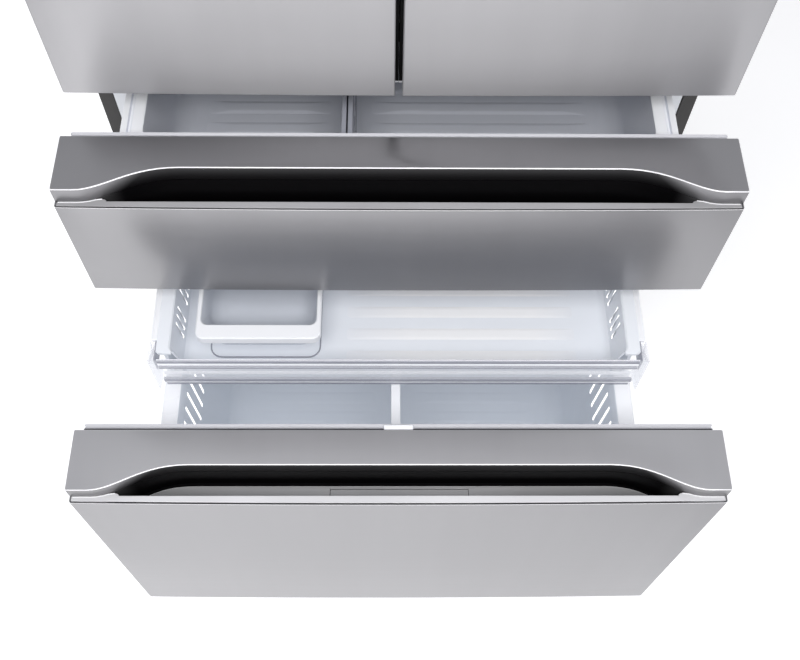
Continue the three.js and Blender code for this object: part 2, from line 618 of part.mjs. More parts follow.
// The upper tray hangs its skirts on the lower basket's rim and slides along it.
function freezerTray() {
  const { half, rimHalf, rimThickness, y, z, wall, radius } = TRAY;
  const earBack = TRIM.y[0] + EAR.depth + 1;
  const rim = join(
    block(across(EAR.near - 1), y, [z[1] - rimThickness, z[1]]),
    block(across(rimHalf), [earBack, y[1]], [z[1] - rimThickness, z[1]]));
  const skirts = SIDES.map(([side]) => block(
    outward(side, SKIRT.near, SKIRT.far), [y[0] + SKIRT.inset, y[1] - SKIRT.inset],
    [LOWER_BASKET.z[1] + GAP, z[1] - 1]));
  const inner = roundedBlock(
    across(half - wall), [y[0] + wall, y[1] - wall], [z[0] + wall + 1, z[1] + 1], radius - wall);
  const front = block(
    across(TRAY_SILL.half), [y[0] - 1, y[0] + wall + 1], [z[0] + TRAY_SILL.height, z[1] + 1]);
  const body = join(roundedBlock(across(half), y, z, radius), rim, ...skirts);
  piece(freezerDrawer, 'freezer_tray', cut(body, inner, front), BASKET_WHITE);

  const bar = block(across(EAR.near + 1), TRIM.y, TRIM.z);
  const ears = SIDES.map(([side]) => {
    const inside = side * EAR.near;
    const outside = side * TRIM.half;
    const outline = [[inside, TRIM.z[1]], [outside, TRIM.z[1]], [outside, EAR.outerZ], [inside, EAR.innerZ]];
    return alongY(side > 0 ? outline.reverse() : outline, [TRIM.y[0], TRIM.y[0] + EAR.depth]);
  });
  piece(freezerDrawer, 'tray_trim', join(bar, ...ears), CLEAR);

  const binZ = [z[0] + wall + 1 + GAP, ICE_BIN.top];
  const bin = cut(
    roundedBlock(ICE_BIN.x, ICE_BIN.y, binZ, ICE_BIN.radius),
    roundedBlock(
      [ICE_BIN.x[0] + ICE_BIN.wall, ICE_BIN.x[1] - ICE_BIN.wall],
      [ICE_BIN.y[0] + ICE_BIN.lip, ICE_BIN.y[1] - ICE_BIN.wall],
      [binZ[0] + 4, binZ[1] + 1], ICE_BIN.radius - 4));
  piece(freezerDrawer, 'ice_bin', bin, BASKET_WHITE);
}

// The lever in the floor of the freezer's pull recess.
const LEVER = { half: 99, y: [-184, -158], thickness: 6, lift: 6 };

function easyOpenLever(floorZ) {
  const low = floorZ + LEVER.lift;
  const plate = block(across(LEVER.half), LEVER.y, [low, low + LEVER.thickness]);
  piece(freezerDrawer, 'easy_open_lever', plate, STEEL);
}

function freezerDrawerParts() {
  const { floorZ } = drawerFront(freezerDrawer, 'freezer', FREEZER_PANEL_Z);
  basketWithDivider(freezerDrawer, 'freezer', LOWER_BASKET);
  freezerTray();
  easyOpenLever(floorZ);
}

// ---------------------------------------------------------------- assembly

caseShell();
caseBack();
liners();
basePan();
machine();
underside();
hinges();
shelves();
door(leftDoor, -1, 'left');
door(rightDoor, 1, 'right');
mullionFlap();
middleDrawerParts();
freezerRailMembers();
freezerDrawerParts();

middleDrawer.position.y = -MIDDLE_OUT;
freezerDrawer.position.y = -FREEZER_OUT;
freezerRails.position.y = -FREEZER_OUT / 2;

export default refrigerator;
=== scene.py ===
"""French door refrigerator with its middle drawer and freezer drawer standing open.

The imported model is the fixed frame. This script gives every CAD node a finish, and builds the finer
pieces around it: crowned fronts, pull recesses, baskets with their slots, the clear trim, seals, rails and
the machine. All lengths are in metres, in the frame's own axes: +X right, -Y towards the user, +Z up.
"""

import json
import math

import bmesh
import bpy
from mathutils import Matrix, Vector


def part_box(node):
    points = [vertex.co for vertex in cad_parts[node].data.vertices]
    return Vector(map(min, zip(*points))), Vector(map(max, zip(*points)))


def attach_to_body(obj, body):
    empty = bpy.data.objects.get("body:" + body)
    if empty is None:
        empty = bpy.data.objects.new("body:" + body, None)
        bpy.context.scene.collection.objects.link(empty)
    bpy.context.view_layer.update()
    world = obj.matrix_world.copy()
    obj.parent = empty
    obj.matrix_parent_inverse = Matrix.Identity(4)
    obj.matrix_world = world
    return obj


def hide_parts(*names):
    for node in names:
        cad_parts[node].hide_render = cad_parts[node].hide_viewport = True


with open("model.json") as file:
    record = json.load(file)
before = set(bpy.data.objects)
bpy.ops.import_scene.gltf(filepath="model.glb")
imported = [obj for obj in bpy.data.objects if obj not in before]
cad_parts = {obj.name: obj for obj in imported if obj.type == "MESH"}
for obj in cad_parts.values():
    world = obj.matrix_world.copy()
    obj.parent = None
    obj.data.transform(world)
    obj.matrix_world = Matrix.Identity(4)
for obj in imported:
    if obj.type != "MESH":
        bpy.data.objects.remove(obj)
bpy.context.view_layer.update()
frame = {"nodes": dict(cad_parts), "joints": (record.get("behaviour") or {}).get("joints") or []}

# ------------------------------------------------------------------ driving sizes

CAMERA_PLACE = (-0.0172, -1.1100, 1.9215)
CAMERA_ANGLES = (1.515, 61.70, 1.414)  # yaw to the right, pitch down and roll to the left, in degrees
CAMERA_LENS = 45.07  # millimetres, on a sensor 36 mm wide

CROWN = 0.003  # how far the middle of a front stands before its ends
SHEET = 0.0021  # folded steel of the fronts
SEAM = 0.0001  # least gap between two pieces that lie on each other
CORNER = 0.0035  # rounding of a front's upright edges
CAP_HEIGHT = 0.027  # of a drawer front's cap

# The S of a pull recess in plan: distances from the middle where it starts, bends and is at full depth.
RECESS = {"start": 0.425, "full": 0.290, "bends": (0.385, 0.358), "depth": 0.0365}
RECESS_DROP = 0.076  # floor of a pull recess below its cap's top

# The steel plate over that floor ends in its own, shorter S, here from its left end inwards.
PLATE_BENDS = ((-0.375, -0.027), (-0.354, -0.014), (-0.334, -0.0013), (-0.290, -0.0013))
PLATE_DROP = 0.064  # below the cap's top

# The bright strip behind a panel's top edge. Its tongues start at a distance from the middle.
LEDGE = {"gap": 0.0032, "depth": 0.0140, "tongue": 0.392, "rise": 0.0036, "thickness": 0.0024}
LEVER_GAP = 0.0007  # round the lever in its plate
LEVER_TAPER = 0.0012  # a lever end leans in by this much
BASKET_FLOOR = 0.0045  # thickness of a basket's floor

FRONT_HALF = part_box("freezer_front_panel")[1].x
SPLIT = (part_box("left_door_skin")[1].x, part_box("right_door_skin")[0].x)  # the gap between the doors
SIDES = ((-1, "left"), (1, "right"))


# ------------------------------------------------------------------ camera


def add_camera():
    """The view from high in front, looking steeply down at the open drawers."""
    yaw, pitch, roll = (math.radians(angle) for angle in CAMERA_ANGLES)
    ahead = Vector((math.sin(yaw) * math.cos(pitch), math.cos(yaw) * math.cos(pitch), -math.sin(pitch)))
    level = Vector((math.cos(yaw), -math.sin(yaw), 0))
    raised = level.cross(ahead)
    right = level * math.cos(roll) + raised * math.sin(roll)
    up = raised * math.cos(roll) - level * math.sin(roll)
    place = Matrix((right, up, -ahead)).transposed().to_4x4()
    place.translation = Vector(CAMERA_PLACE)
    data = bpy.data.cameras.new("camera")
    data.lens = CAMERA_LENS
    data.sensor_width = 36
    data.clip_start = 0.05
    data.clip_end = 60
    camera = bpy.data.objects.new("camera", data)
    camera.matrix_world = place
    bpy.context.scene.collection.objects.link(camera)
    bpy.context.scene.camera = camera


add_camera()


# ------------------------------------------------------------------ materials


class Finish:
    """A procedural material. Its patterns are laid in the object's own coordinates, in metres."""

    def __init__(self, name, color, roughness, metallic=0.0, **sockets):
        self.material = bpy.data.materials.new(name)
        self.material.use_nodes = True
        self.tree = self.material.node_tree
        self.shader = self.tree.nodes["Principled BSDF"]
        self.color = color
        self.set("Base Color", (*color, 1))
        self.set("Roughness", roughness)
        self.set("Metallic", metallic)
        for socket, value in sockets.items():
            self.set(socket.replace("_", " "), value)
        self.place = self.node("ShaderNodeTexCoord").outputs["Object"]

    def node(self, kind, **inputs):
        made = self.tree.nodes.new(kind)
        for name, value in inputs.items():
            self.put(made, name.replace("_", " "), value)
        return made

    def put(self, node, socket, value):
        if isinstance(value, bpy.types.NodeSocket):
            self.tree.links.new(value, node.inputs[socket])
        else:
            node.inputs[socket].default_value = value

    def set(self, socket, value):
        self.put(self.shader, socket, value)

    def noise(self, scale, detail=3.0, shift=(0, 0, 0)):
        """Noise from 0 to 1. Scale is features per metre along each axis."""
        mapping = self.node("ShaderNodeMapping", Vector=self.place, Scale=scale, Location=shift)
        noise = self.node("ShaderNodeTexNoise", Vector=mapping.outputs[0], Scale=1.0, Detail=detail)
        return noise.outputs["Fac"]

    def along(self, axis):
        return self.node("ShaderNodeSeparateXYZ", Vector=self.place).outputs[axis]

    def glow(self, color, strength):
        self.set("Emission Color", (*color, 1))
        self.set("Emission Strength", strength)

    def range(self, value, low, high, start=0.3, end=0.7):
        made = self.node("ShaderNodeMapRange", Value=value)
        for name, number in (("From Min", start), ("From Max", end), ("To Min", low), ("To Max", high)):
            made.inputs[name].default_value = number
        return made.outputs["Result"]

    def math(self, operation, first, second):
        made = self.node("ShaderNodeMath")
        made.operation = operation
        self.put(made, 0, first)
        self.put(made, 1, second)
        return made.outputs[0]

    def blend(self, factor, first, second):
        made = self.node("ShaderNodeMix")
        made.data_type = "RGBA"
        self.tree.links.new(factor, made.inputs["Factor"])
        for name, value in (("A", first), ("B", second)):
            socket = next(s for s in made.inputs if s.name == name and s.type == "RGBA")
            if isinstance(value, bpy.types.NodeSocket):
                self.tree.links.new(value, socket)
            else:
                socket.default_value = (*value, 1)
        return next(s for s in made.outputs if s.type == "RGBA")

    def tint(self, factor, other):
        """Colour that wanders between the finish's own colour and another."""
        self.set("Base Color", self.blend(factor, self.color, other))

    def relief(self, height, strength, distance):
        bump = self.node("ShaderNodeBump", Height=height, Strength=strength, Distance=distance)
        self.set("Normal", bump.outputs["Normal"])


WHITE = (1.0, 1.0, 1.0)
COOL_WHITE = (0.90, 0.94, 1.0)


def scaled(color, factor):
    return tuple(min(1.0, channel * factor) for channel in color)


def brushed_steel(name, color, roughness=0.30, stretch=0.75):
    """Stainless sheet, brushed along X: reflections draw out across the grain."""
    finish = Finish(name, color, roughness, 1.0, Anisotropic=stretch)
    tangent = finish.tree.nodes.new("ShaderNodeTangent")
    tangent.direction_type = "RADIAL"
    tangent.axis = "X"
    finish.set("Tangent", tangent.outputs[0])
    fine = finish.noise((7, 1500, 1500), 2.0)
    broad = finish.noise((1.5, 110, 110), 2.0, (0.3, 0.1, 0.7))
    smear = finish.noise((26, 1.2, 0.8), 2.0, (1.7, 0.2, 0.4))
    grain = finish.math("ADD", finish.math("MULTIPLY", fine, 0.7), finish.math("MULTIPLY", broad, 0.3))
    finish.set("Roughness", finish.range(grain, roughness - 0.02, roughness + 0.03))
    shade = finish.math("ADD", finish.math("MULTIPLY", grain, 0.5), finish.math("MULTIPLY", smear, 0.5))
    finish.tint(finish.range(shade, 0.0, 1.0), scaled(color, 1.045))
    finish.relief(fine, 0.04, 0.0001)
    return finish.material


def painted(name, color, roughness, metallic=0.0, glow=0.0):
    """Sprayed sheet metal with a faint orange peel."""
    finish = Finish(name, color, roughness, metallic)
    finish.glow(WHITE, glow)
    peel = finish.noise((420, 420, 420), 2.0)
    cloud = finish.noise((6, 6, 6), 3.0, (0.5, 0.1, 0.9))
    finish.set("Roughness", finish.range(cloud, roughness - 0.04, roughness + 0.05))
    finish.tint(finish.range(cloud, 0.0, 1.0), scaled(color, 1.12))
    finish.relief(peel, 0.12, 0.0002)
    return finish.material


def moulded(name, color, roughness, grain=900, depth=0.00008, glow=0.0, light=WHITE, **sockets):
    """Moulded plastic: even colour with slight flow clouds, and a fine spark-eroded skin."""
    finish = Finish(name, color, roughness, **sockets)
    finish.glow(light, glow)
    skin = finish.noise((grain, grain, grain), 2.0)
    flow = finish.noise((5, 9, 7), 3.0, (0.2, 0.6, 0.3))
    finish.set("Roughness", finish.range(flow, roughness - 0.05, roughness + 0.05))
    finish.tint(finish.range(flow, 0.0, 1.0), scaled(color, 0.96))
    finish.relief(skin, 0.25, depth)
    return finish.material


def clear_plastic(name, color, alpha, edge_alpha, glow=0.0):
    """Clear polystyrene: faces let most light through, and edges seen at a low angle don't."""
    finish = Finish(name, color, 0.08, IOR=1.49)
    facing = finish.node("ShaderNodeLayerWeight", Blend=0.35).outputs["Facing"]
    finish.set("Alpha", finish.range(facing, alpha, edge_alpha, 0.0, 1.0))
    streak = finish.noise((1.5, 50, 50), 1.0)
    finish.set("Roughness", finish.range(streak, 0.08, 0.12))
    finish.tint(finish.range(streak, 0.0, 1.0), scaled(color, 0.97))
    finish.glow(color, glow)
    return finish.material


def recess_painted_shade(name, dark, bright, cap_top):
    """The rear wall of a pull recess, in painted shade: steel at its two ends, painted darker to black where
    the recess is deep and shaded, and a little lighter towards its top.
    """
    finish = Finish(name, dark, 0.45, 1.0)
    # painted shade: from the steel at the ends to black where the recess is deep
    reach = finish.math("ABSOLUTE", finish.along("X"), 0.0)
    height = finish.range(finish.along("Z"), 0.0, 1.0, cap_top - CAP_HEIGHT, cap_top)
    slant = finish.math("ADD", reach, finish.math("MULTIPLY", height, 0.052))
    toward_end = finish.range(slant, 0.0, 1.0, 0.366, 0.428)
    toward_end = finish.math("POWER", toward_end, 1.5)
    # painted light: the wall is a little lighter towards its top
    glow = finish.math("MULTIPLY", finish.math("POWER", height, 1.6), 0.15)
    grain = finish.noise((6, 400, 400), 2.0)
    finish.tint(finish.math("MAXIMUM", toward_end, glow), bright)
    finish.set("Metallic", toward_end)
    finish.set("Specular IOR Level", 0.15)
    finish.set("Roughness", finish.range(grain, 0.42, 0.48))
    finish.relief(grain, 0.04, 0.0001)
    return finish.material


def painted_light_bands(name, color, bright, left, right):
    """Plastic painted a little lighter on raised pads, as light catches them, and fading to the plain colour
    towards both ends.
    """
    finish = Finish(name, color, 0.36)
    x = finish.along("X")
    rise = finish.range(x, 0.0, 1.0, *left)
    fall = finish.range(x, 1.0, 0.0, *right)
    finish.tint(finish.math("MULTIPLY", rise, fall), bright)
    skin = finish.noise((900, 900, 900), 2.0)
    finish.relief(skin, 0.25, 0.00008)
    finish.set("Roughness", finish.range(skin, 0.33, 0.38))
    return finish.material


def cast_metal(name, color, roughness):
    """Plated or bare metal with a spangle of slightly different greys."""
    finish = Finish(name, color, roughness, 1.0)
    spangle = finish.noise((90, 90, 90), 4.0)
    finish.set("Roughness", finish.range(spangle, roughness - 0.08, roughness + 0.1))
    finish.tint(finish.range(spangle, 0.0, 1.0), scaled(color, 0.8))
    finish.relief(finish.noise((500, 500, 500), 2.0), 0.1, 0.0002)
    return finish.material


def copper():
    finish = Finish("copper_tube", (0.72, 0.36, 0.22), 0.3, 1.0)
    patina = finish.noise((40, 40, 40), 4.0)
    finish.tint(finish.range(patina, 0.0, 1.0, 0.45, 0.75), (0.34, 0.17, 0.11))
    finish.set("Roughness", finish.range(patina, 0.25, 0.5))
    return finish.material


def glass():
    finish = Finish("tempered_glass", (0.86, 0.93, 0.93), 0.05, IOR=1.5)
    facing = finish.node("ShaderNodeLayerWeight", Blend=0.3).outputs["Facing"]
    finish.set("Alpha", finish.range(facing, 0.28, 0.85, 0.0, 1.0))
    finish.set("Roughness", finish.range(finish.noise((30, 30, 30), 3.0), 0.03, 0.1))
    return finish.material


def lit_lens():
    finish = Finish("lamp_lens", (0.95, 0.96, 0.98), 0.25)
    lines = finish.noise((200, 8, 8), 1.0)
    finish.relief(lines, 0.3, 0.0003)
    finish.glow((1.0, 0.98, 0.94), 0.4)
    return finish.material


DOOR_STEEL = brushed_steel("door_stainless", (0.490, 0.484, 0.496), 0.46, 0.85)
# Lit and shaded copies of one stainless: the middle drawer's panel, cap and ledge are painted darker for the
# shade under the doors, the freezer's cap and ledge lighter for the light that falls on them.
DRAWER_STEEL_LIT_AND_SHADED = {
    "middle": brushed_steel("middle_drawer_stainless_painted_shade", (0.315, 0.311, 0.320)),
    "freezer": brushed_steel("freezer_drawer_stainless", (0.340, 0.336, 0.345), 0.34, 0.7)}
CAP_STEEL_LIT_AND_SHADED = {
    "middle": brushed_steel("middle_cap_stainless_painted_shade", (0.420, 0.415, 0.427), 0.37),
    "freezer": brushed_steel("freezer_cap_stainless_painted_light", (0.710, 0.704, 0.718), 0.42, 0.85)}
LIGHT_STEEL = brushed_steel("ledge_steel", (0.600, 0.592, 0.610), 0.33)
DRAWER_LEDGE_LIT_AND_SHADED = {
    "middle": painted("middle_ledge_steel_painted_shade", (0.46, 0.456, 0.466), 0.36, 0.35),
    "freezer": painted("freezer_ledge_steel_painted_light", (0.80, 0.795, 0.81), 0.36, 0.35)}
PLATE_STEEL = painted("recess_floor_steel", (0.52, 0.515, 0.525), 0.42, 0.40)
# painted highlights: rolled steel edges in a near white that glows a little, for the bright lines that light
# draws on them
EDGE_PAINTED_HIGHLIGHT = painted("edge_painted_highlight", (0.86, 0.855, 0.87), 0.30, 0.25, glow=0.12)
LINE_PAINTED_HIGHLIGHT = painted("sheet_edge_painted_highlight", (0.88, 0.875, 0.89), 0.30, 0.1, glow=0.34)
# painted shade: the near black of the deep, shaded pull recess, and each drawer's recess wall finish built
# from it
RECESS_SHADE_BLACK = (0.0030, 0.0026, 0.0032)
DRAWER_RECESS_SHADE = {
    name: recess_painted_shade(f"{name}_recess_wall_painted_shade", RECESS_SHADE_BLACK, bright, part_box(f"{name}_front_cap")[1].z)
    for name, bright in (("middle", (0.30, 0.296, 0.306)), ("freezer", (0.29, 0.286, 0.294)))}
# painted shade: near black for the shade deep in the pull recess
POCKET_SHADE_BLACK = moulded("pocket_painted_shade", (0.0035, 0.0032, 0.0037), 0.5, Specular_IOR_Level=0.1)
CASE = painted("case_grey", (0.034, 0.0315, 0.0305), 0.5, 0.2)
LINER = moulded("liner_white", (0.86, 0.875, 0.90), 0.38)
# Lit and shaded copies of one white basket plastic: the tray and the freezer basket are painted lighter and
# glow a little for the light falling into them; the middle basket is painted darker for the shade under the
# doors, the ice bin for the shade under the middle drawer.
TRAY_PLASTIC_PAINTED_LIGHT = moulded("basket_white", (0.85, 0.875, 0.92), 0.36, glow=0.05, light=COOL_WHITE)
LOWER_BASKET_PAINTED_LIGHT = moulded(
    "freezer_basket_white_painted_light", (0.84, 0.875, 0.93), 0.36, glow=0.06, light=(0.88, 0.93, 1.0))
SHADED_BASKET = moulded("middle_basket_white_painted_shade", (0.80, 0.82, 0.885), 0.36)
BIN_PLASTIC_PAINTED_SHADE = moulded("ice_bin_white_painted_shade", (0.72, 0.75, 0.81), 0.36)
# painted light: a whiter plastic that glows a little, on rims and lips where light falls on their tops, on
# the freezer divider and its bracket, and on the tips of the split seal
WHITE_PLASTIC_PAINTED_LIGHT = moulded("rim_white_painted_light", (0.90, 0.91, 0.94), 0.3, glow=0.06)
SEAL_BLACK = moulded("split_seal_black", (0.004, 0.004, 0.004), 0.7, Specular_IOR_Level=0.15)
# painted light: floor pads of the tray lighter than the floor
TRAY_PADS_PAINTED_LIGHT = painted_light_bands(
    "basket_bands_painted_light", (0.88, 0.90, 0.945), (0.97, 0.97, 0.98), (-0.10, 0.02), (0.22, 0.30))
# painted light: slot faces that glow white, as if light shone through
SLOT_PAINTED_LIGHT = moulded("slot_faces_painted_light", (0.92, 0.93, 0.95), 0.3, glow=1.0)
SMOKED = moulded("smoked_plastic", (0.36, 0.37, 0.42), 0.25)
# painted light: the clear plastic glows a little; its grey copy is painted shade for the dark lines along the
# trim's edges
CLEAR = clear_plastic("clear_plastic", (0.95, 0.96, 1.0), 0.12, 0.46, 0.15)
CLEAR_PAINTED_SHADE = clear_plastic("clear_plastic_painted_shade", (0.45, 0.46, 0.52), 0.74, 0.95)
CLEAR_BIN = clear_plastic("clear_bin", (0.72, 0.76, 0.80), 0.3, 0.85)
# painted highlights: glowing light strips on the trim
TRIM_PAINTED_HIGHLIGHT = moulded("trim_light", (0.86, 0.865, 0.90), 0.25, glow=0.26, light=(0.97, 0.98, 1.0))
SEAL = moulded("seal_light_grey", (0.60, 0.60, 0.63), 0.6, 1500)
BLACK = moulded("black_plastic", (0.018, 0.018, 0.020), 0.5, 1400, 0.00012)
ZINC = cast_metal("zinc_plate", (0.55, 0.56, 0.58), 0.38)
ENAMEL = painted("black_enamel", (0.012, 0.012, 0.014), 0.35)
RUBBER = moulded("rubber", (0.022, 0.022, 0.023), 0.8, 1600, 0.0002)
COPPER = copper()
GLASS = glass()
LENS = lit_lens()


# ------------------------------------------------------------------ mesh helpers


class Shape:
    """Closed shells of one piece, collected before they become a mesh."""

    def __init__(self):
        self.points = []
        self.faces = []
        self.slots = []

    def add(self, points, faces, slot=0):
        start = len(self.points)
        self.points += [tuple(point) for point in points]
        self.faces += [[start + index for index in face] for face in faces]
        self.slots += [slot] * len(faces)
        return self

    def loft(self, rings, loop=False, slot=0):
        """Skin over rings with equal numbers of points, capped at both ends unless they close a loop."""
        count = len(rings[0])
        total = len(rings)
        faces = []
        for level in range(total if loop else total - 1):
            following = (level + 1) % total
            for index in range(count):
                beside = (index + 1) % count
                faces.append([
                    level * count + index, level * count + beside,
                    following * count + beside, following * count + index])
        if not loop:
            faces.append(list(range(count))[::-1])
            faces.append([(total - 1) * count + index for index in range(count)])
        return self.add([point for ring in rings for point in ring], faces, slot)

    def prism(self, outline, axis, low, high, slot=0):
        """An outline drawn in the two other axes, in the order X, Y, Z, drawn out along one axis."""
        order = "xyz".index(axis)

        def lift(point, level):
            values = list(point)
            values.insert(order, level)
            return values

        return self.loft([[lift(p, low) for p in outline], [lift(p, high) for p in outline]], slot=slot)

    def block(self, low, high, slot=0):
        outline = [(low[0], low[1]), (high[0], low[1]), (high[0], high[1]), (low[0], high[1])]
        return self.prism(outline, "z", low[2], high[2], slot)


def object_from(name, shape):
    mesh = bpy.data.meshes.new(name)
    mesh.from_pydata(shape.points, [], shape.faces)
    for polygon, slot in zip(mesh.polygons, shape.slots):
        polygon.material_index = slot
    work = bmesh.new()
    work.from_mesh(mesh)
    bmesh.ops.recalc_face_normals(work, faces=work.faces)
    work.to_mesh(mesh)
    work.free()
    made = bpy.data.objects.new(name, mesh)
    bpy.context.scene.collection.objects.link(made)
    return made


def bevel(target, width, segments=3, angle=38):
    modifier = target.modifiers.new("rounded_edges", "BEVEL")
    modifier.width = width
    modifier.segments = segments
    modifier.limit_method = "ANGLE"
    modifier.angle_limit = math.radians(angle)
    modifier.harden_normals = True


def smooth(mesh, angle=38):
    mesh.shade_smooth()
    mesh.set_sharp_from_angle(angle=math.radians(angle))


def bake_modifiers(target):
    """Turns the modified shape into the object's own mesh."""
    graph = bpy.context.evaluated_depsgraph_get()
    result = bpy.data.meshes.new_from_object(target.evaluated_get(graph))
    target.modifiers.clear()
    target.data = result


def carve(target, cutter_shape):
    """Cuts the shells of one shape out of a piece."""
    cutter = object_from("cutter", cutter_shape)
    modifier = target.modifiers.new("cut", "BOOLEAN")
    modifier.object = cutter
    modifier.solver = "EXACT"
    modifier.use_self = True
    bpy.context.view_layer.update()
    bake_modifiers(target)
    bpy.data.objects.remove(cutter)


def attach(made, body, replaces=()):
    """Lets a piece ride on a body, and hides the CAD nodes it stands for."""
    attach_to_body(made, body)
    if replaces:
        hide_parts(*replaces)


def repaint(made, material, wanted):
    """Gives another finish to the faces that are wanted, by their centre and normal."""
    made.data.materials.append(material)
    index = len(made.data.materials) - 1
    for polygon in made.data.polygons:
        if wanted(polygon.center, polygon.normal):
            polygon.material_index = index


def piece(name, shape, material, body, replaces=(), width=0.0, segments=3, cutter=None):
    """A finished piece: its mesh, rounded edges, cuts and finish, riding on a body."""
    made = object_from(name, shape)
    made.data.materials.append(material)
    if width:
        bevel(made, width, segments)
    if cutter:
        carve(made, cutter)
    smooth(made.data)
    attach(made, body, replaces)
    return made


def rounded(u, v, radius, steps=5):
    """A rectangle with round corners, as points in turn."""
    corners = [(u[1], v[0], -90), (u[1], v[1], 0), (u[0], v[1], 90), (u[0], v[0], 180)]
    points = []
    for corner_u, corner_v, start in corners:
        centre_u = corner_u + (radius if corner_u == u[0] else -radius)
        centre_v = corner_v + (radius if corner_v == v[0] else -radius)
        for step in range(steps + 1):
            angle = math.radians(start + 90 * step / steps)
            points.append((centre_u + radius * math.cos(angle), centre_v + radius * math.sin(angle)))
    return points


def level_ring(x, y, z, radius, steps=5):
    return [(u, v, z) for u, v in rounded(x, y, radius, steps)]


def upright_ring(x, y, z, radius, steps=5):
    return [(u, y, v) for u, v in rounded(x, z, radius, steps)]


def stack(low, high, levels, steps=6):
    """Level rings inside a box. A level is its side inset, end inset, height and corner radius."""
    return [
        level_ring(shrink(low.x, high.x, side), shrink(low.y, high.y, end), z, radius, steps)
        for side, end, z, radius in levels]


def capsule(u, v_low, v_high, width, steps=5):
    """A slot with round ends, standing along the second axis."""
    return rounded((u - width / 2, u + width / 2), (v_low, v_high), width * 0.499, steps)


def circle(centre, radius, count=16):
    angles = [2 * math.pi * i / count for i in range(count)]
    return [(centre[0] + radius * math.cos(a), centre[1] + radius * math.sin(a)) for a in angles]


def shrink(low, high, amount):
    return (low + amount, high - amount)


def mirrored(side, near, far):
    """A range of X given by its distances from the middle, on one side, from low to high."""
    return tuple(sorted((side * near, side * far)))


def bezier(controls, t):
    """A point at t from 0 to 1 on the cubic curve with four control points."""
    weights = ((1 - t) ** 3, 3 * t * (1 - t) ** 2, 3 * t * t * (1 - t), t ** 3)
    return tuple(sum(w * point[axis] for w, point in zip(weights, controls)) for axis in (0, 1))


def tube(name, points, radius, material, body):
    """A round tube along a smooth line."""
    curve = bpy.data.curves.new(name, "CURVE")
    curve.dimensions = "3D"
    curve.bevel_depth = radius
    curve.bevel_resolution = 4
    curve.resolution_u = 8
    curve.use_fill_caps = True
    spline = curve.splines.new("NURBS")
    spline.points.add(len(points) - 1)
    for target, point in zip(spline.points, points):
        target.co = (*point, 1)
    spline.order_u = 3
    spline.use_endpoint_u = True
    curve.materials.append(material)
    made = bpy.data.objects.new(name, curve)
    bpy.context.scene.collection.objects.link(made)
    attach(made, body)


def dress(node, material, width=0.0, segments=2):
    """A CAD node that keeps its shape: its edges are rounded and it gets its finish."""
    target = frame["nodes"][node]
    target.data.materials.clear()
    target.data.materials.append(material)
    if width:
        weld = target.modifiers.new("weld", "WELD")
        weld.merge_threshold = 0.00001
        flat = target.modifiers.new("flat_faces", "DECIMATE")
        flat.decimate_type = "DISSOLVE"
        flat.angle_limit = math.radians(1)
        bevel(target, width, segments, 30)


# ------------------------------------------------------------------ fronts


def crown(x):
    """How far a front's face lies behind its middle at x."""
    return CROWN * (x / FRONT_HALF) ** 2


def corner_setback(distance, radius):
    """Depth of a rounded upright edge at a distance from the side."""
    if distance >= radius:
        return 0.0
    return radius - math.sqrt(radius ** 2 - (radius - distance) ** 2)


def front_stations(x, columns, radii):
    """Places across a front: close together in its rounded corners, even between them."""
    steps = [0, 0.08, 0.3, 0.6]
    left = [x[0] + radii[0] * step for step in steps]
    right = [x[1] - radii[1] * step for step in reversed(steps)]
    inner = (x[0] + radii[0], x[1] - radii[1])
    middle = [inner[0] + (inner[1] - inner[0]) * i / columns for i in range(columns + 1)]
    return left + middle + right


def front_block(x, y, z, radii=(CORNER, CORNER), columns=24):
    """A front with a crowned face and rounded upright edges, as one solid."""
    rings = []
    for station in front_stations(x, columns, radii):
        setback = max(
            corner_setback(station - x[0], radii[0]), corner_setback(x[1] - station, radii[1]))
        face = y[0] + crown(station) + setback
        rings.append([
            (station, face, z[0]), (station, y[1], z[0]), (station, y[1], z[1]), (station, face, z[1])])
    return Shape().loft(rings)


def recess_edge(reach, count=14):
    """The S-shaped plan line of a pull recess from left to right, as (x, share of the full depth)."""
    outer_bend, inner_bend = RECESS["bends"]
    controls = ((RECESS["start"], 0), (outer_bend, 0), (inner_bend, 1), (RECESS["full"], 1))
    half = [bezier(controls, step / count) for step in range(count + 1)]
    line = [(-reach, 0.0)] if reach > RECESS["start"] else []
    line += [(-x, share) for x, share in half if x <= reach]
    return line + [(-x, share) for x, share in reversed(line)]


def recess_line(edge_y, reach, back=0.0):
    """The same line as plan points, from the front edge of a cap."""
    return [(x, edge_y + back + share * RECESS["depth"]) for x, share in recess_edge(reach)]


def front_cap(name, body):
    """The cap of a drawer front: flat on top, with a rolled edge that runs in an S round the pull recess."""
    low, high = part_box(f"{name}_front_cap")
    edge = recess_line(low.y, high.x)
    outline = edge + [(high.x, high.y), (low.x, high.y)]
    shape = Shape().prism(outline, "z", low.z, high.z)
    made = object_from(f"{name}_cap", shape)
    made.data.materials.append(CAP_STEEL_LIT_AND_SHADED[name])
    # the cap's faces into the recess get the recess's painted shade
    repaint(made, DRAWER_RECESS_SHADE[name], lambda centre, normal: normal.y < -0.3)
    bevel(made, 0.0020, 4, 32)
    bpy.context.view_layer.update()
    bake_modifiers(made)
    # painted highlight on the rolled edge of the S
    paint_edge_highlight(made, high.z - 0.0024)
    smooth(made.data, 32)
    attach(made, body, [f"{name}_front_cap"])


def paint_edge_highlight(made, above, facing=-1, steepest=0.35, flattest=0.96, finish=EDGE_PAINTED_HIGHLIGHT):
    """Paints a highlight on the rolled edge of a sheet: its faces get a near white finish that glows a
    little. Facing is -1 for a front edge and +1 for a rear one.
    """
    repaint(made, finish, lambda centre, normal: (
        centre.z > above and normal.y * facing > 0.15 and steepest < normal.z < flattest))


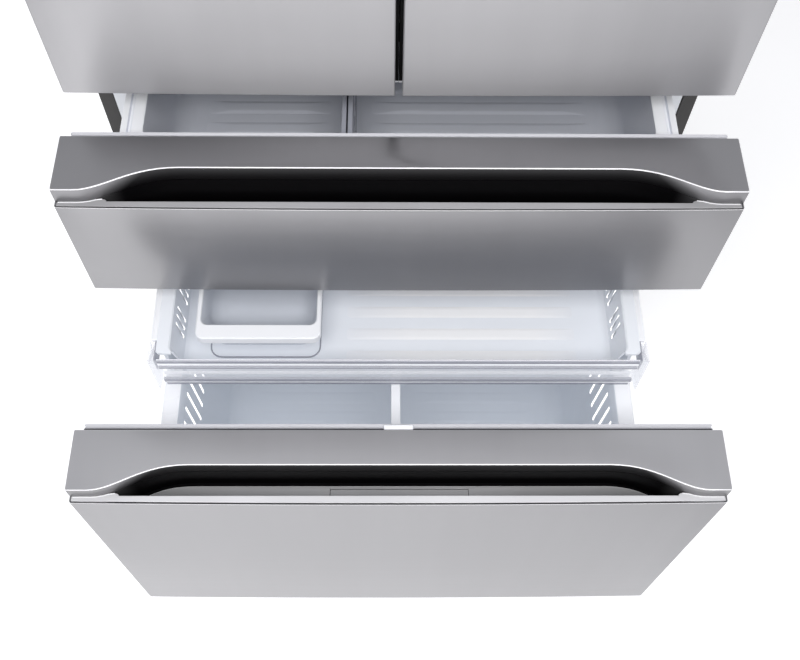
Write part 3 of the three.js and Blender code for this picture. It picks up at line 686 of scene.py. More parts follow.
def front_panel(name, body):
    """The folded steel pan below the cap, open to the back and the top."""
    low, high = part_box(f"{name}_front_panel")
    hollow = front_block(
        (low.x + SHEET, high.x - SHEET), (low.y + SHEET, high.y + 0.01), (low.z + SHEET, high.z + 0.01),
        (CORNER - SHEET, CORNER - SHEET))
    made = piece(
        f"{name}_panel", front_block(*zip(low, high)), DRAWER_STEEL_LIT_AND_SHADED[name], body,
        [f"{name}_front_panel"], width=0.0020, segments=4, cutter=hollow)
    # painted highlight on the panel's rolled top edge
    paint_edge_highlight(made, high.z - 0.0021, steepest=0.15, flattest=1.01, finish=LINE_PAINTED_HIGHLIGHT)


def front_ledge(name, body):
    """The bright strip behind the panel's top edge. Its two ends run back under the cap and stop in a tip."""
    low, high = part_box(f"{name}_front_panel")
    cap_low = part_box(f"{name}_front_cap")[0]
    inside = high.x - 0.0022
    rear_y = low.y + LEDGE["depth"]
    edge = [point for point in recess_line(cap_low.y, inside) if point[0] < -LEDGE["tongue"]]
    limit = rear_y + LEDGE["rise"]
    tongue = [(x, min(y + 0.0015, limit)) for x, y in edge]
    last_x, last_y = tongue[-1]
    tip = last_y - rear_y
    round_tip = [
        (last_x + tip * 1.6 * math.sin(a), rear_y + tip * math.cos(a))
        for a in (math.radians(22.5 * i) for i in range(1, 5))]
    rear = tongue + round_tip
    rear += [(-x, y) for x, y in reversed(rear)]
    columns = 24
    across = [inside - 2 * inside * index / columns for index in range(columns + 1)]
    front = [(x, low.y + LEDGE["gap"] + crown(x)) for x in across]
    top = high.z - 0.0002
    shape = Shape().prism(rear + front, "z", top - LEDGE["thickness"], top)
    ledge = piece(f"{name}_ledge", shape, DRAWER_LEDGE_LIT_AND_SHADED[name], body, width=0.0009)
    # painted highlight on the ledge's front edge
    paint_edge_highlight(ledge, top - 0.0010, steepest=0.15, flattest=0.99, finish=LINE_PAINTED_HIGHLIGHT)

    bead = 0.0007
    for label, side in (("left", 1), ("right", -1)):
        line = [(side * x, min(y - 0.0002, limit - 0.0004)) for x, y in edge]
        line[0] = (line[0][0] + side * 0.002, line[0][1])
        rings = [[(x, v, w) for v, w in circle((y, top + SEAM), bead, 8)] for x, y in line]
        # the thin beads carry a painted highlight along the tongues' rear edges
        piece(f"{name}_ledge_bead_{label}", Shape().loft(rings), EDGE_PAINTED_HIGHLIGHT, body)


def pocket(name, body):
    """The recess behind the ledge: a wall that carries on the cap's edge, a floor and a front wall, painted
    near black as the shade inside the recess.
    """
    low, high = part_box(f"{name}_handle_pocket")
    cap_low, cap_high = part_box(f"{name}_front_cap")
    floor_z = cap_high.z - RECESS_DROP
    wall = recess_line(cap_low.y, high.x, 0.0004)
    thick = [(x, y + 0.0026) for x, y in reversed(wall)]
    shape = Shape().prism(wall + thick, "z", floor_z - 0.0025, cap_low.z - 0.0003)
    made = piece(
        f"{name}_pocket_wall", shape, DRAWER_RECESS_SHADE[name], body, [f"{name}_handle_pocket"])
    smooth(made.data, 50)
    front_y = low.y + 0.0003
    floor = wall + [(high.x, front_y), (low.x, front_y)]
    base = Shape().prism(floor, "z", floor_z - 0.0026, floor_z)
    base.block((low.x, front_y, floor_z), (high.x, front_y + 0.0015, high.z - 0.0035))
    piece(f"{name}_pocket_floor", base, POCKET_SHADE_BLACK, body)


def plate_line(rear_y, count=12):
    """Rear edge of the floor plate from left to right. It ends in its own, shorter S."""
    half = [bezier(PLATE_BENDS, step / count) for step in range(count + 1)]
    half = [(x, rear_y + y) for x, y in half]
    return half + [(-x, y) for x, y in reversed(half)]


def recess_plate(name, body, notch=None):
    """The steel plate over a recess's floor. A notch is half its width and its range of Y."""
    cap_low, cap_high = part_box(f"{name}_front_cap")
    top = cap_high.z - PLATE_DROP
    line = plate_line(cap_low.y + RECESS["depth"] - 0.0065)
    front_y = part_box(f"{name}_front_panel")[0].y + 0.0055
    outline = line + [(line[-1][0], front_y), (line[0][0], front_y)]
    shape = Shape().prism(outline, "z", top - 0.006, top)
    cutter = None
    if notch:
        x, y = notch
        inner = x - LEVER_TAPER
        opening = [(-x, y[0]), (x, y[0]), (inner, y[1]), (-inner, y[1])]
        cutter = Shape().prism(opening, "z", top - 0.01, top + 0.01)
    made = piece(
        f"{name}_recess_plate", shape, PLATE_STEEL, body, width=0.0016, segments=4,
        cutter=cutter)
    # painted highlight on the plate's rounded rear edge
    paint_edge_highlight(made, top - 0.0017, 1)


def open_lever():
    """The lever in the freezer's recess lies flush in its plate with a fine gap round it."""
    low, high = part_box("easy_open_lever")
    rear_x = shrink(low.x, high.x, LEVER_TAPER)
    outline = [(low.x, low.y), (high.x, low.y), (rear_x[1], high.y), (rear_x[0], high.y)]
    shape = Shape().prism(outline, "z", low.z + 0.0006, high.z)
    piece("pull_lever", shape, PLATE_STEEL, "easy_open_lever", ["easy_open_lever"], width=0.0007)


def seal_ring(name, node, body, start=0.13, corner=0.016):
    """A magnetic seal: a bellows that runs round a front in one loop, on a channel. Start is its share."""
    low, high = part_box(node)
    depth = high.y - low.y

    def around(section):
        """The loop of a section that is given as (inset, depth)."""
        rings = [
            upright_ring(
                shrink(low.x, high.x, inset), low.y + y, shrink(low.z, high.z, inset),
                max(corner - inset, 0.0008), 6)
            for inset, y in section]
        return Shape().loft(rings, loop=True)

    folds = [
        (0.0, 0.0), (0.014, 0.0), (0.0145, 0.18), (0.0115, 0.32), (0.0145, 0.46), (0.0150, 0.88),
        (0.0125, 1.0), (0.0020, 1.0), (0.0, 0.88), (0.0022, 0.48)]
    bellows = [(inset + 0.0004, depth * (start + (1 - start) * share)) for inset, share in folds]
    piece(name, around(bellows), SEAL, body, [node])
    # The black channel is a real retainer and also painted shade: it stands for the shadow line between the
    # seal and the front.
    edge = depth * start - SEAM
    channel = around([(0.0012, 0.0), (0.012, 0.0), (0.012, edge), (0.0012, edge)])
    piece(f"{name}_channel", channel, BLACK, body)


def drawer_back(name, body):
    """The moulded panel on a drawer front's back, inside its seal."""
    low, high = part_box(f"{name}_gasket")
    x = shrink(low.x, high.x, 0.0965)
    z = (low.z + 0.030, high.z - 0.0045)
    levels = (
        (0.0, low.y - 0.0002), (0.0, low.y + 0.0065), (0.0016, low.y + 0.0088), (0.004, high.y - 0.0009))
    rings = [upright_ring(shrink(*x, inset), y, shrink(*z, inset), 0.016) for inset, y in levels]
    piece(f"{name}_back_panel", Shape().loft(rings), LINER, body)


def drawer_front(name, body, notch=None):
    """Everything that a drawer's front is made of."""
    front_cap(name, body)
    front_panel(name, body)
    front_ledge(name, body)
    pocket(name, body)
    recess_plate(name, body, notch)
    seal_ring(f"{name}_seal", f"{name}_gasket", body, start=0.35, corner=0.005)
    drawer_back(name, body)
    dress(f"{name}_front_liner", LINER, 0.001)


# ------------------------------------------------------------------ doors


def door(label, side):
    """A door's steel wrap, its end caps, its half of the seal in the split, its inner parts and its bins."""
    body = f"{label}_door"
    low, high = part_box(f"{label}_door_skin")
    outer_radius, split_radius = 0.0038, 0.0022
    radii = (outer_radius, split_radius) if side < 0 else (split_radius, outer_radius)
    inner_radii = tuple(radius - SHEET for radius in radii)
    hollow = front_block(
        shrink(low.x, high.x, SHEET), (low.y + SHEET, high.y + 0.01), (low.z - 0.01, high.z + 0.01),
        inner_radii, 12)
    piece(
        f"{label}_door_wrap", front_block(*zip(low, high), radii, 12), DOOR_STEEL, body,
        [f"{label}_door_skin"], width=0.0010, cutter=hollow)

    hinge = next(j for j in frame["joints"] if j["name"] == f"{label}_door_hinge")
    pin, pin_hole = hinge["pos_m"], 0.0069
    cap_inset, cap_thickness = 0.0006, 0.0032
    inside = SHEET + 0.0002
    for where, z in (
            ("top", (high.z - cap_thickness, high.z - cap_inset)),
            ("bottom", (low.z + cap_inset, low.z + cap_thickness))):
        shape = front_block(
            shrink(low.x, high.x, inside), (low.y + SHEET + 0.0002, high.y - 0.0004), z, inner_radii, 12)
        hole = Shape().prism(circle(pin, pin_hole, 24), "z", z[0] - 0.01, z[1] + 0.01)
        piece(f"{label}_door_{where}_cap", shape, BLACK, body, cutter=hole)

    strip_y = (low.y + 0.024, low.y + 0.046)
    middle = (SPLIT[0] + SPLIT[1]) / 2
    x = (middle + 0.0003, SPLIT[1] - SEAM) if side > 0 else (SPLIT[0] + SEAM, middle - 0.0003)
    strip = Shape().prism(rounded(x, strip_y, 0.0009, 3), "z", low.z + 0.0026, high.z - 0.002)
    piece(f"{label}_split_seal", strip, SEAL_BLACK, body)
    tip_y = (strip_y[0] - 0.0008, strip_y[1])
    tip = Shape().prism(rounded(x, tip_y, 0.0009, 3), "z", low.z + 0.0003, low.z + 0.0025)
    # the tip glows a little: painted light
    piece(f"{label}_split_seal_tip", tip, WHITE_PLASTIC_PAINTED_LIGHT, body)

    dress(f"{label}_door_liner", LINER, 0.0025, 3)
    seal_ring(f"{label}_door_seal", f"{label}_door_gasket", body)
    door_bin(label, body, f"{label}_door_bin", 0.0, [f"{label}_door_bin"])
    door_bin(label, body, f"{label}_upper_bin", 0.270, [])


def door_bin(label, body, name, lift, replaces):
    """A clear bin that hooks between the sides of the door's inner frame."""
    low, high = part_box(f"{label}_door_bin")
    base = low.z + lift
    wall = 0.0024
    levels = [  # inset, inset at the door, height, corner radius
        (0.010, 0.0, 0.0014, 0.016), (0.006, 0.0, 0.006, 0.018), (0.0, 0.0, 0.110, 0.010),
        (0.0, 0.0, 0.1235, 0.010), (wall, 0.0012, 0.1248, 0.009), (wall, 0.002, 0.110, 0.009),
        (0.006 + wall, 0.002, 0.008, 0.016), (0.010 + wall, 0.003, 0.0045, 0.014)]
    rings = [
        level_ring(shrink(low.x, high.x, inset), (low.y + at_door, high.y - inset), base + height, radius)
        for inset, at_door, height, radius in levels]
    piece(name, Shape().loft(rings), CLEAR_BIN, body, replaces)
    band_depth = 0.012
    band = Shape().loft([
        level_ring(
            shrink(low.x, high.x, inset), (high.y - band_depth + inset, high.y - inset), base + z, 0.004)
        for inset, z in ((0.0012, 0.1252), (0.0004, 0.1275), (0.0016, 0.1288))])
    piece(f"{name}_band", band, LIGHT_STEEL, body)


# ------------------------------------------------------------------ baskets


def slot_cutters(side, wall_x, places, z, width):
    """Upright slots with round ends through a side wall."""
    shape = Shape()
    reach = mirrored(side, wall_x - 0.03, wall_x + 0.03)
    for y in places:
        shape.prism(capsule(y, *z, width), "x", *reach)
    return shape


def paint_slot_light(made, reach, places, z):
    """The faces inside the slots are painted bright and glow, as if light shone through them."""
    def slot_face(centre, normal):
        in_wall = reach[0] < abs(centre.x) < reach[1] and abs(normal.x) < 0.6
        return in_wall and z[0] < centre.z < z[1] and any(abs(centre.y - y) < 0.0033 for y in places)

    repaint(made, SLOT_PAINTED_LIGHT, slot_face)


def merged(*shapes):
    whole = Shape()
    for shape in shapes:
        whole.add(shape.points, shape.faces)
    return whole


def fillet(x_inset, y_inset, z, radius, corner, steps=7):
    """Levels that carry a wall round into its floor, from the wall down."""
    levels = []
    for step in range(steps + 1):
        angle = math.radians(90 * step / steps)
        grow = radius * (1 - math.cos(angle))
        levels.append((
            x_inset + grow, y_inset + grow, z + radius * (1 - math.sin(angle)),
            max(corner - grow * 0.4, 0.008)))
    return levels


def floor_ribs(shape, x, ys, z, width, height, fade=0.060):
    """Low pads across a floor. Their sides are soft and their ends run out flat."""
    steps = 8
    sunk = 0.0003
    for y in ys:
        rings = []
        for rise in (step / steps for step in range(steps + 1)):
            half = width * (1 - 0.62 * rise) / 2
            level = z - sunk + (height + sunk) * (0.5 - 0.5 * math.cos(math.pi * rise))
            rings.append(level_ring(shrink(*x, fade * rise), (y - half, y + half), level, half * 0.5, 4))
        shape.loft(rings)


def basket(drawer, levels, plastic, pads, pad_reach, slots=None):
    """A moulded basket: walls with draft, a rolled rim, a floor with pads and slots through its sides.

    Pads are given by the first one's place, their pitch, width and height, and their reach by its distance
    from the basket's sides and from the divider. Slots are given by their places and their range of Z.
    """
    name, body = f"{drawer}_basket", f"{drawer}_drawer"
    low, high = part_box(name)
    made = object_from(f"{name}_tub", Shape().loft(stack(low, high, levels)))
    made.data.materials.append(plastic)
    # painted light: the rim's top faces are whiter and glow
    rim_z = high.z - 0.014
    repaint(made, WHITE_PLASTIC_PAINTED_LIGHT, lambda centre, normal: centre.z > rim_z and normal.z > 0.5)
    if slots:
        places, z = slots
        wall_x, slot_width = 0.334, 0.0062
        carve(made, merged(*[slot_cutters(side, wall_x, places, z, slot_width) for side in (-1, 1)]))
        paint_slot_light(made, (0.320, 0.346), places, (z[0] - 0.001, z[1] + 0.001))
    smooth(made.data, 40)
    attach(made, body, [name])

    first, pitch, width, height = pads
    ys = []
    y = low.y + first
    while y < high.y - first * 0.7:
        ys.append(y)
        y += pitch
    from_side, from_divider = pad_reach
    divider_low, divider_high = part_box(f"{drawer}_divider")
    ribs = Shape()
    for x in (
            (low.x + from_side, divider_low.x - from_divider),
            (divider_high.x + from_divider, high.x - from_side)):
        floor_ribs(ribs, x, ys, low.z + BASKET_FLOOR, width, height)
    piece(f"{name}_floor_ribs", ribs, plastic, body)


def middle_basket():
    """Shallow basket of the middle drawer. Its rim has a groove before the outer flange."""
    low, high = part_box("middle_basket")
    wall = high.x - 0.355
    levels = [
        (wall + 0.012, 0.016, low.z + 0.0006, 0.030), (wall + 0.007, 0.011, low.z + 0.004, 0.034),
        (wall - 0.003, 0.001, high.z - 0.0065, 0.026),
        (0.0, 0.0008, high.z - 0.0058, 0.008), (0.0, 0.0006, high.z - 0.0020, 0.008),
        (0.0012, 0.0012, high.z - 0.0008, 0.008), (0.0090, 0.0020, high.z - 0.0008, 0.010),
        (0.0105, 0.0024, high.z - 0.0050, 0.010), (0.0135, 0.0028, high.z - 0.0050, 0.012),
        (0.0155, 0.0032, high.z - 0.0004, 0.012), (wall - 0.0025, 0.0044, high.z - 0.0002, 0.018),
        (wall, 0.0062, high.z - 0.0022, 0.020),
        *fillet(wall + 0.006, 0.0110, low.z + BASKET_FLOOR, 0.030, 0.040)]
    basket("middle", levels, SHADED_BASKET, (0.0675, 0.043, 0.030, 0.0022), (wall + 0.040, 0.010))


def freezer_basket():
    """Deep basket of the freezer drawer, with tall slots in both sides."""
    low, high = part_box("freezer_basket")
    wall = high.x - 0.343
    levels = [
        (wall + 0.026, 0.024, low.z + 0.0006, 0.030), (wall + 0.020, 0.018, low.z + 0.006, 0.034),
        (wall, 0.0015, high.z - 0.0115, 0.026),
        (0.0005, 0.0010, high.z - 0.0110, 0.008), (0.0002, 0.0006, high.z - 0.0022, 0.008),
        (0.0014, 0.0014, high.z - 0.0006, 0.008), (0.0035, 0.0020, high.z - 0.0001, 0.010),
        (wall - 0.0030, 0.0035, high.z - 0.0001, 0.018), (wall + 0.0012, 0.0045, high.z - 0.0016, 0.020),
        (wall + 0.0030, 0.0060, high.z - 0.0060, 0.022),
        *fillet(wall + 0.020, 0.0180, low.z + BASKET_FLOOR, 0.034, 0.044)]
    places = [low.y + 0.069 + 0.025 * index for index in range(13)]
    slots = (places, (low.z + 0.238, high.z - 0.036))
    basket(
        "freezer", levels, LOWER_BASKET_PAINTED_LIGHT, (0.060, 0.041, 0.030, 0.0014), (wall + 0.055, 0.012), slots)


def middle_divider():
    """Two clear grey walls side by side, with a black core between them that paints the shade in the slit."""
    low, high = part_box("middle_divider")
    centre = (low.x + high.x) / 2
    walls = Shape()
    for side in (-1, 1):
        near, far = sorted((centre + side * 0.0010, centre + side * 0.0078))
        walls.block((near, low.y + 0.002, low.z + 0.004), (far, high.y - 0.002, high.z))
    piece(
        "middle_divider_walls", walls, SMOKED, "middle_drawer", ["middle_divider"],
        width=0.0012)
    # painted shade: a black core where the slit between the walls is in shade
    half_slit = 0.0009
    core = Shape().block(
        (centre - half_slit, low.y + 0.003, low.z + 0.005),
        (centre + half_slit, high.y - 0.003, high.z - 0.010))
    piece("middle_divider_shadow_core", core, BLACK, "middle_drawer", width=0.0003)


def freezer_divider():
    """A thin web with a broad bar on top and two beads, held by a bracket on the drawer's front."""
    low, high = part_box("freezer_divider")
    centre = (low.x + high.x) / 2
    half, web = 0.0073, 0.0028  # half the bar's width, and half the web's
    top = high.z
    profile = [
        (centre - web, low.z), (centre + web, low.z), (centre + web, top - 0.018),
        (centre + half, top - 0.010), (centre + half, top), (centre - half, top),
        (centre - half, top - 0.010), (centre - web, top - 0.018)]
    shape = Shape().prism(profile, "y", low.y + 0.001, high.y - 0.001)
    bead = web + 0.0018
    for bead_z in (low.z + 0.10, low.z + 0.22):
        outline = rounded((centre - bead, centre + bead), (bead_z, bead_z + 0.012), 0.0015, 3)
        shape.prism(outline, "y", low.y + 0.03, high.y - 0.03)
    # the panel glows a little: painted light
    piece(
        "freezer_divider_panel", shape, WHITE_PLASTIC_PAINTED_LIGHT, "freezer_drawer",
        ["freezer_divider"], width=0.0018)

    cap_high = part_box("freezer_front_cap")[1]
    middle = centre + 0.0025
    rear_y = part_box("freezer_gasket")[1].y - 0.0048
    top = cap_high.z + 0.0003
    bracket, tongue = 0.0205, 0.0075  # half their widths
    shape = Shape().block(
        (middle - bracket, cap_high.y + 0.0008, top - 0.010), (middle + bracket, rear_y, top))
    shape.block(
        (middle - tongue, rear_y - 0.003, top - 0.060), (middle + tongue, rear_y - 0.0004, top - 0.008))
    # the bracket glows a little: painted light
    piece("divider_bracket", shape, WHITE_PLASTIC_PAINTED_LIGHT, "freezer_drawer", width=0.0012)


# ------------------------------------------------------------------ freezer tray


def freezer_tray():
    """The shallow tray over the freezer basket, with slots in its sides and a seat for the ice bin."""
    low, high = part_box("freezer_tray")
    bin_low, bin_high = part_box("ice_bin")
    body_top = high.z
    floor = bin_low.z - 0.0003
    base = floor - 0.0040
    wall = high.x - 0.345
    levels = [
        (wall + 0.013, 0.012, base, 0.024), (wall + 0.008, 0.007, base + 0.004, 0.026),
        (wall - 0.0030, 0.0015, body_top - 0.0055, 0.016),
        (0.0085, 0.0012, body_top - 0.0052, 0.008), (0.0083, 0.0010, body_top - 0.0018, 0.008),
        (0.0098, 0.0015, body_top - 0.0004, 0.008), (wall - 0.0016, 0.0030, body_top - 0.0004, 0.012),
        (wall + 0.0006, 0.0030, body_top - 0.0024, 0.013),
        *fillet(wall + 0.0040, 0.0030, floor, 0.016, 0.024)]
    shape = Shape().loft(stack(low, high, levels))
    places = [low.y + 0.0640 + group * 0.0600 + slot * 0.0142 for group in range(4) for slot in range(3)]
    slot_z = (floor + 0.0165, floor + 0.0640)
    wall_x, slot_width = 0.340, 0.0054
    gate = 0.3413  # half the width of the opening in the tray's front wall
    front_gate = Shape().block(
        (-gate, low.y - 0.002, floor + 0.0052), (gate, low.y + 0.0048, body_top + 0.002))
    cuts = merged(
        front_gate, *[slot_cutters(side, wall_x, places, slot_z, slot_width) for side in (-1, 1)])
    made = piece(
        "freezer_tray_tub", shape, TRAY_PLASTIC_PAINTED_LIGHT, "freezer_tray", ["freezer_tray"],
        cutter=cuts)
    paint_slot_light(made, (0.330, 0.348), places, (floor + 0.0155, floor + 0.0650))
    smooth(made.data, 40)

    lips, skirts = Shape(), Shape()
    for side in (-1, 1):
        x = mirrored(side, high.x - 0.0100, high.x)
        y = (low.y + 0.0245, high.y - 0.002)
        lips.loft([
            level_ring(shrink(*x, inset), shrink(*y, inset), body_top + z, 0.003)
            for inset, z in ((0.0006, -0.0075), (0.0, -0.0065), (0.0, -0.0010), (0.0010, 0.0))])
        x = mirrored(side, 0.3535, 0.3595)
        skirts.block((x[0], low.y + 0.0155, base - 0.0042), (x[1], high.y - 0.0155, body_top - 0.004))
    # the lips are whiter and glow: painted light
    piece("freezer_tray_lips", lips, WHITE_PLASTIC_PAINTED_LIGHT, "freezer_tray")
    piece("freezer_tray_skirts", skirts, TRAY_PLASTIC_PAINTED_LIGHT, "freezer_tray", width=0.0012)

    pads = Shape()
    ys = [low.y + 0.0390 + index * 0.0403 for index in range(7)]
    floor_ribs(pads, (bin_high.x + 0.020, 0.3000), ys, floor, 0.0255, 0.0009, 0.050)
    # the pads get their painted light
    piece("freezer_tray_ribs", pads, TRAY_PADS_PAINTED_LIGHT, "freezer_tray")

    x = (bin_low.x + 0.010, bin_high.x - 0.004)
    y = (bin_low.y + 0.0080, bin_high.y - 0.004)
    bead = ((0.0, -0.0004), (0.0003, 0.0018), (0.0010, 0.0022), (0.0020, 0.0018), (0.0024, -0.0004))
    rings = [
        level_ring(shrink(*x, inset), shrink(*y, inset), floor + z, 0.020 - inset, 6) for inset, z in bead]
    # painted shade: the seat's bead is smoked grey for the shade line round the bin
    piece("ice_bin_seat", Shape().loft(rings, loop=True), SMOKED, "freezer_tray")


def ice_bin():
    """A bin with a deep white front rim, thin side rims and walls that lean in towards its floor."""
    low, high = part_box("ice_bin")
    levels = [  # side inset, front inset, height, corner radius
        (0.016, 0.034, low.z + 0.0002, 0.022), (0.012, 0.030, low.z + 0.004, 0.024),
        (0.0035, 0.019, high.z - 0.0160, 0.020), (0.0, 0.0, high.z - 0.0155, 0.013),
        (0.0, 0.0, high.z - 0.0016, 0.013), (0.0016, 0.0016, high.z, 0.012),
        (0.0058, 0.0232, high.z, 0.011), (0.0070, 0.0246, high.z - 0.0016, 0.011),
        *[(side, side + 0.0215, z, corner)
          for side, _, z, corner in fillet(0.0110, 0.0, low.z + 0.0042, 0.040, 0.034)]]
    rings = [
        level_ring(shrink(low.x, high.x, side), (low.y + front, high.y - side), z, radius, 7)
        for side, front, z, radius in levels]
    made = object_from("ice_bin_tub", Shape().loft(rings))
    made.data.materials.append(BIN_PLASTIC_PAINTED_SHADE)
    # painted light: the bin's rim is whiter and glows
    rim_z = high.z - 0.0156
    repaint(made, WHITE_PLASTIC_PAINTED_LIGHT, lambda centre, normal: centre.z > rim_z and normal.z > -0.5)
    smooth(made.data, 40)
    attach(made, "freezer_tray", ["ice_bin"])


def tray_trim():
    """The clear bar that closes the tray's front, and an ear with a crossed web at each end."""
    low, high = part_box("tray_trim")
    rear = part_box("freezer_tray")[0].y - 0.0004
    inside = high.x - 0.0120  # half the bar's length
    bar_floor = high.z - 0.0725
    wall = 0.0024
    skin = low.y + SEAM
    face = Shape().block((-inside, low.y + 0.0004, bar_floor), (inside, low.y + wall, high.z - 0.0002))
    # the bar's clear plastic glows a little: painted light
    piece(
        "tray_trim_bar", face, CLEAR, "freezer_tray", ["tray_trim"], width=0.0006,
        segments=2)

    behind = low.y + wall + SEAM
    reach = inside - 0.002

    def strip(shape, front, back, start, end):
        """A strip along the bar, from start down to end below its top."""
        shape.block((-reach, front, high.z - end), (reach, back, high.z - start))

    # painted highlights: light strips and a round bead along the bar, glowing
    lights = Shape()
    strip(lights, behind, behind + 0.0008, 0.0, 0.0018)
    strip(lights, rear - 0.0012, rear, 0.0560, 0.0660)
    strip(lights, skin, behind + 0.0022, 0.0090, 0.0150)
    lights.prism(circle((low.y + 0.0016, bar_floor - 0.0009), 0.0011, 12), "x", -reach, reach)
    piece("tray_trim_lights", lights, TRIM_PAINTED_HIGHLIGHT, "freezer_tray", width=0.0004, segments=2)

    # painted shade: grey bands for the dark lines along the bar
    bands = Shape()
    for start, end in ((0.0020, 0.0085), (0.0232, 0.0262), (0.0620, 0.0710)):
        strip(bands, skin, behind + 0.0022, start, end)
    strip(bands, behind + 0.0024, behind + 0.0034, 0.0725, 0.0905)
    piece("tray_trim_bands", bands, CLEAR_PAINTED_SHADE, "freezer_tray", width=0.0004, segments=2)

    near, far = inside + 0.0003, high.x
    wall = 0.0018
    front, back = low.y + wall, low.y + 0.035
    half_web = 0.0009
    for side, label in SIDES:
        wedge = [
            (side * near, high.z), (side * far, high.z), (side * far, low.z), (side * near, high.z - 0.069)]
        ear = Shape().prism(wedge, "y", low.y, front)
        x = mirrored(side, far - wall, far)
        ear.block((x[0], front, low.z), (x[1], back, high.z))
        x = mirrored(side, near + wall, far - wall)
        ear.block((x[0], back - wall, high.z - 0.018), (x[1], back, high.z))
        for start, end in ((front, back - wall), (back - wall, front)):
            outline = [
                (x[0], start - half_web), (x[0], start + half_web), (x[1], end + half_web),
                (x[1], end - half_web)]
            ear.prism(outline, "z", high.z - 0.012, high.z - 0.001)
        ear.block((x[0], front, high.z - 0.0145), (x[1], back - wall, high.z - 0.0125))
        # clear plastic that glows a little: painted light
        piece(f"tray_trim_ear_{label}", ear, CLEAR, "freezer_tray", width=0.0004, segments=2)
        x = mirrored(side, near, near + wall)
        # the inner web is in the grey of the painted shade
        web = Shape().block((x[0], front, high.z - 0.030), (x[1], back, high.z))
        piece(f"tray_trim_web_{label}", web, CLEAR_PAINTED_SHADE, "freezer_tray", width=0.0004)


# ------------------------------------------------------------------ rails


def rail_profile(x, z, side):
    """A C-shaped rolled section that opens towards the middle of the cabinet."""
    lip, wall = 0.0045, 0.0016
    back, front = (x[1], x[0]) if side > 0 else (x[0], x[1])
    step = wall if front < back else -wall
    return [
        (back, z[0]), (front, z[0]), (front, z[0] + lip), (front + step, z[0] + lip),
        (front + step, z[0] + wall), (back - step, z[0] + wall), (back - step, z[1] - wall),
        (front + step, z[1] - wall), (front + step, z[1] - lip), (front, z[1] - lip), (front, z[1]),
        (back, z[1])]


def rails():
    """Every rail member is a rolled section with a bumper at its end."""
    kinds = (
        ("freezer_rail_fixed", "cabinet"), ("freezer_rail_middle", "freezer_rails"),
        ("freezer_rail_moving", "freezer_drawer"), ("middle_rail", "middle_drawer"))
    for kind, body in kinds:
        for side, label in SIDES:
            node = f"{kind}_{label}"
            low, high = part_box(node)
            profile = rail_profile((low.x, high.x), (low.z, high.z), side)
            shape = Shape().prism(profile, "y", low.y, high.y)
            piece(f"{node}_section", shape, ZINC, body, [node], width=0.0004, segments=2)
            middle_z = (low.z + high.z) / 2
            x = shrink(low.x, high.x, 0.0019)
            stop = Shape().block(
                (x[0], high.y - 0.016, middle_z - 0.008), (x[1], high.y - 0.002, middle_z + 0.008))
            piece(f"{node}_bumper", stop, BLACK, body, width=0.0012)


# ------------------------------------------------------------------ cabinet


def cabinet():
    """The CAD nodes that keep their shape, apart from the liners of doors and drawers."""
    dress("case_shell", CASE, 0.0012)
    dress("center_rail", CASE, 0.0010)
    dress("rear_cover", BLACK, 0.0010)
    dress("base_pan", ZINC, 0.0008)
    for node in ("fresh_food_liner", "middle_liner", "freezer_liner"):
        dress(node, LINER, 0.0030, 3)
    dress("compressor", ENAMEL, 0.003, 3)
    dress("condenser_fan", BLACK, 0.0006)
    dress("toe_grille", BLACK, 0.0012)
    dress("mullion_flap", BLACK, 0.0015)
    dress("crisper_shelf", GLASS, 0.0012)
    dress("shelf", GLASS, 0.0012)
    for label in ("left", "right"):
        dress(f"front_foot_{label}", BLACK, 0.0008)
        dress(f"rear_roller_{label}", RUBBER, 0.0008)
        dress(f"hinge_top_{label}", ZINC, 0.0006)
        dress(f"hinge_lower_{label}", ZINC, 0.0006)
        dress(f"hinge_cover_{label}", CASE, 0.0035, 3)
        dress(f"crisper_{label}", CLEAR_BIN, 0.0008)


def back_sheet():
    """The steel back, stiffened by long beads pressed into it and held by a row of screws."""
    low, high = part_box("case_back")
    shape = Shape().block(tuple(low), tuple(high))
    grooves = Shape()
    for x in (-0.30, -0.10, 0.10, 0.30):
        outline = capsule(x, low.z + 0.16, high.z - 0.16, 0.026, 6)
        grooves.prism(outline, "y", high.y - 0.0035, high.y + 0.01)
    piece("back_sheet", shape, CASE, "cabinet", ["case_back"], width=0.0010, cutter=grooves)
    screws = Shape()
    head = ((0.0050, 0.004), (0.0050, 0.0012), (0.0036, 0.0001))
    for x in (-0.425, -0.2125, 0.0, 0.2125, 0.425):
        for z in (low.z + 0.022, high.z - 0.022):
            screws.loft([
                [(u, high.y - inset, v) for u, v in circle((x, z), radius, 14)] for radius, inset in head])
    piece("back_screws", screws, ZINC, "cabinet")


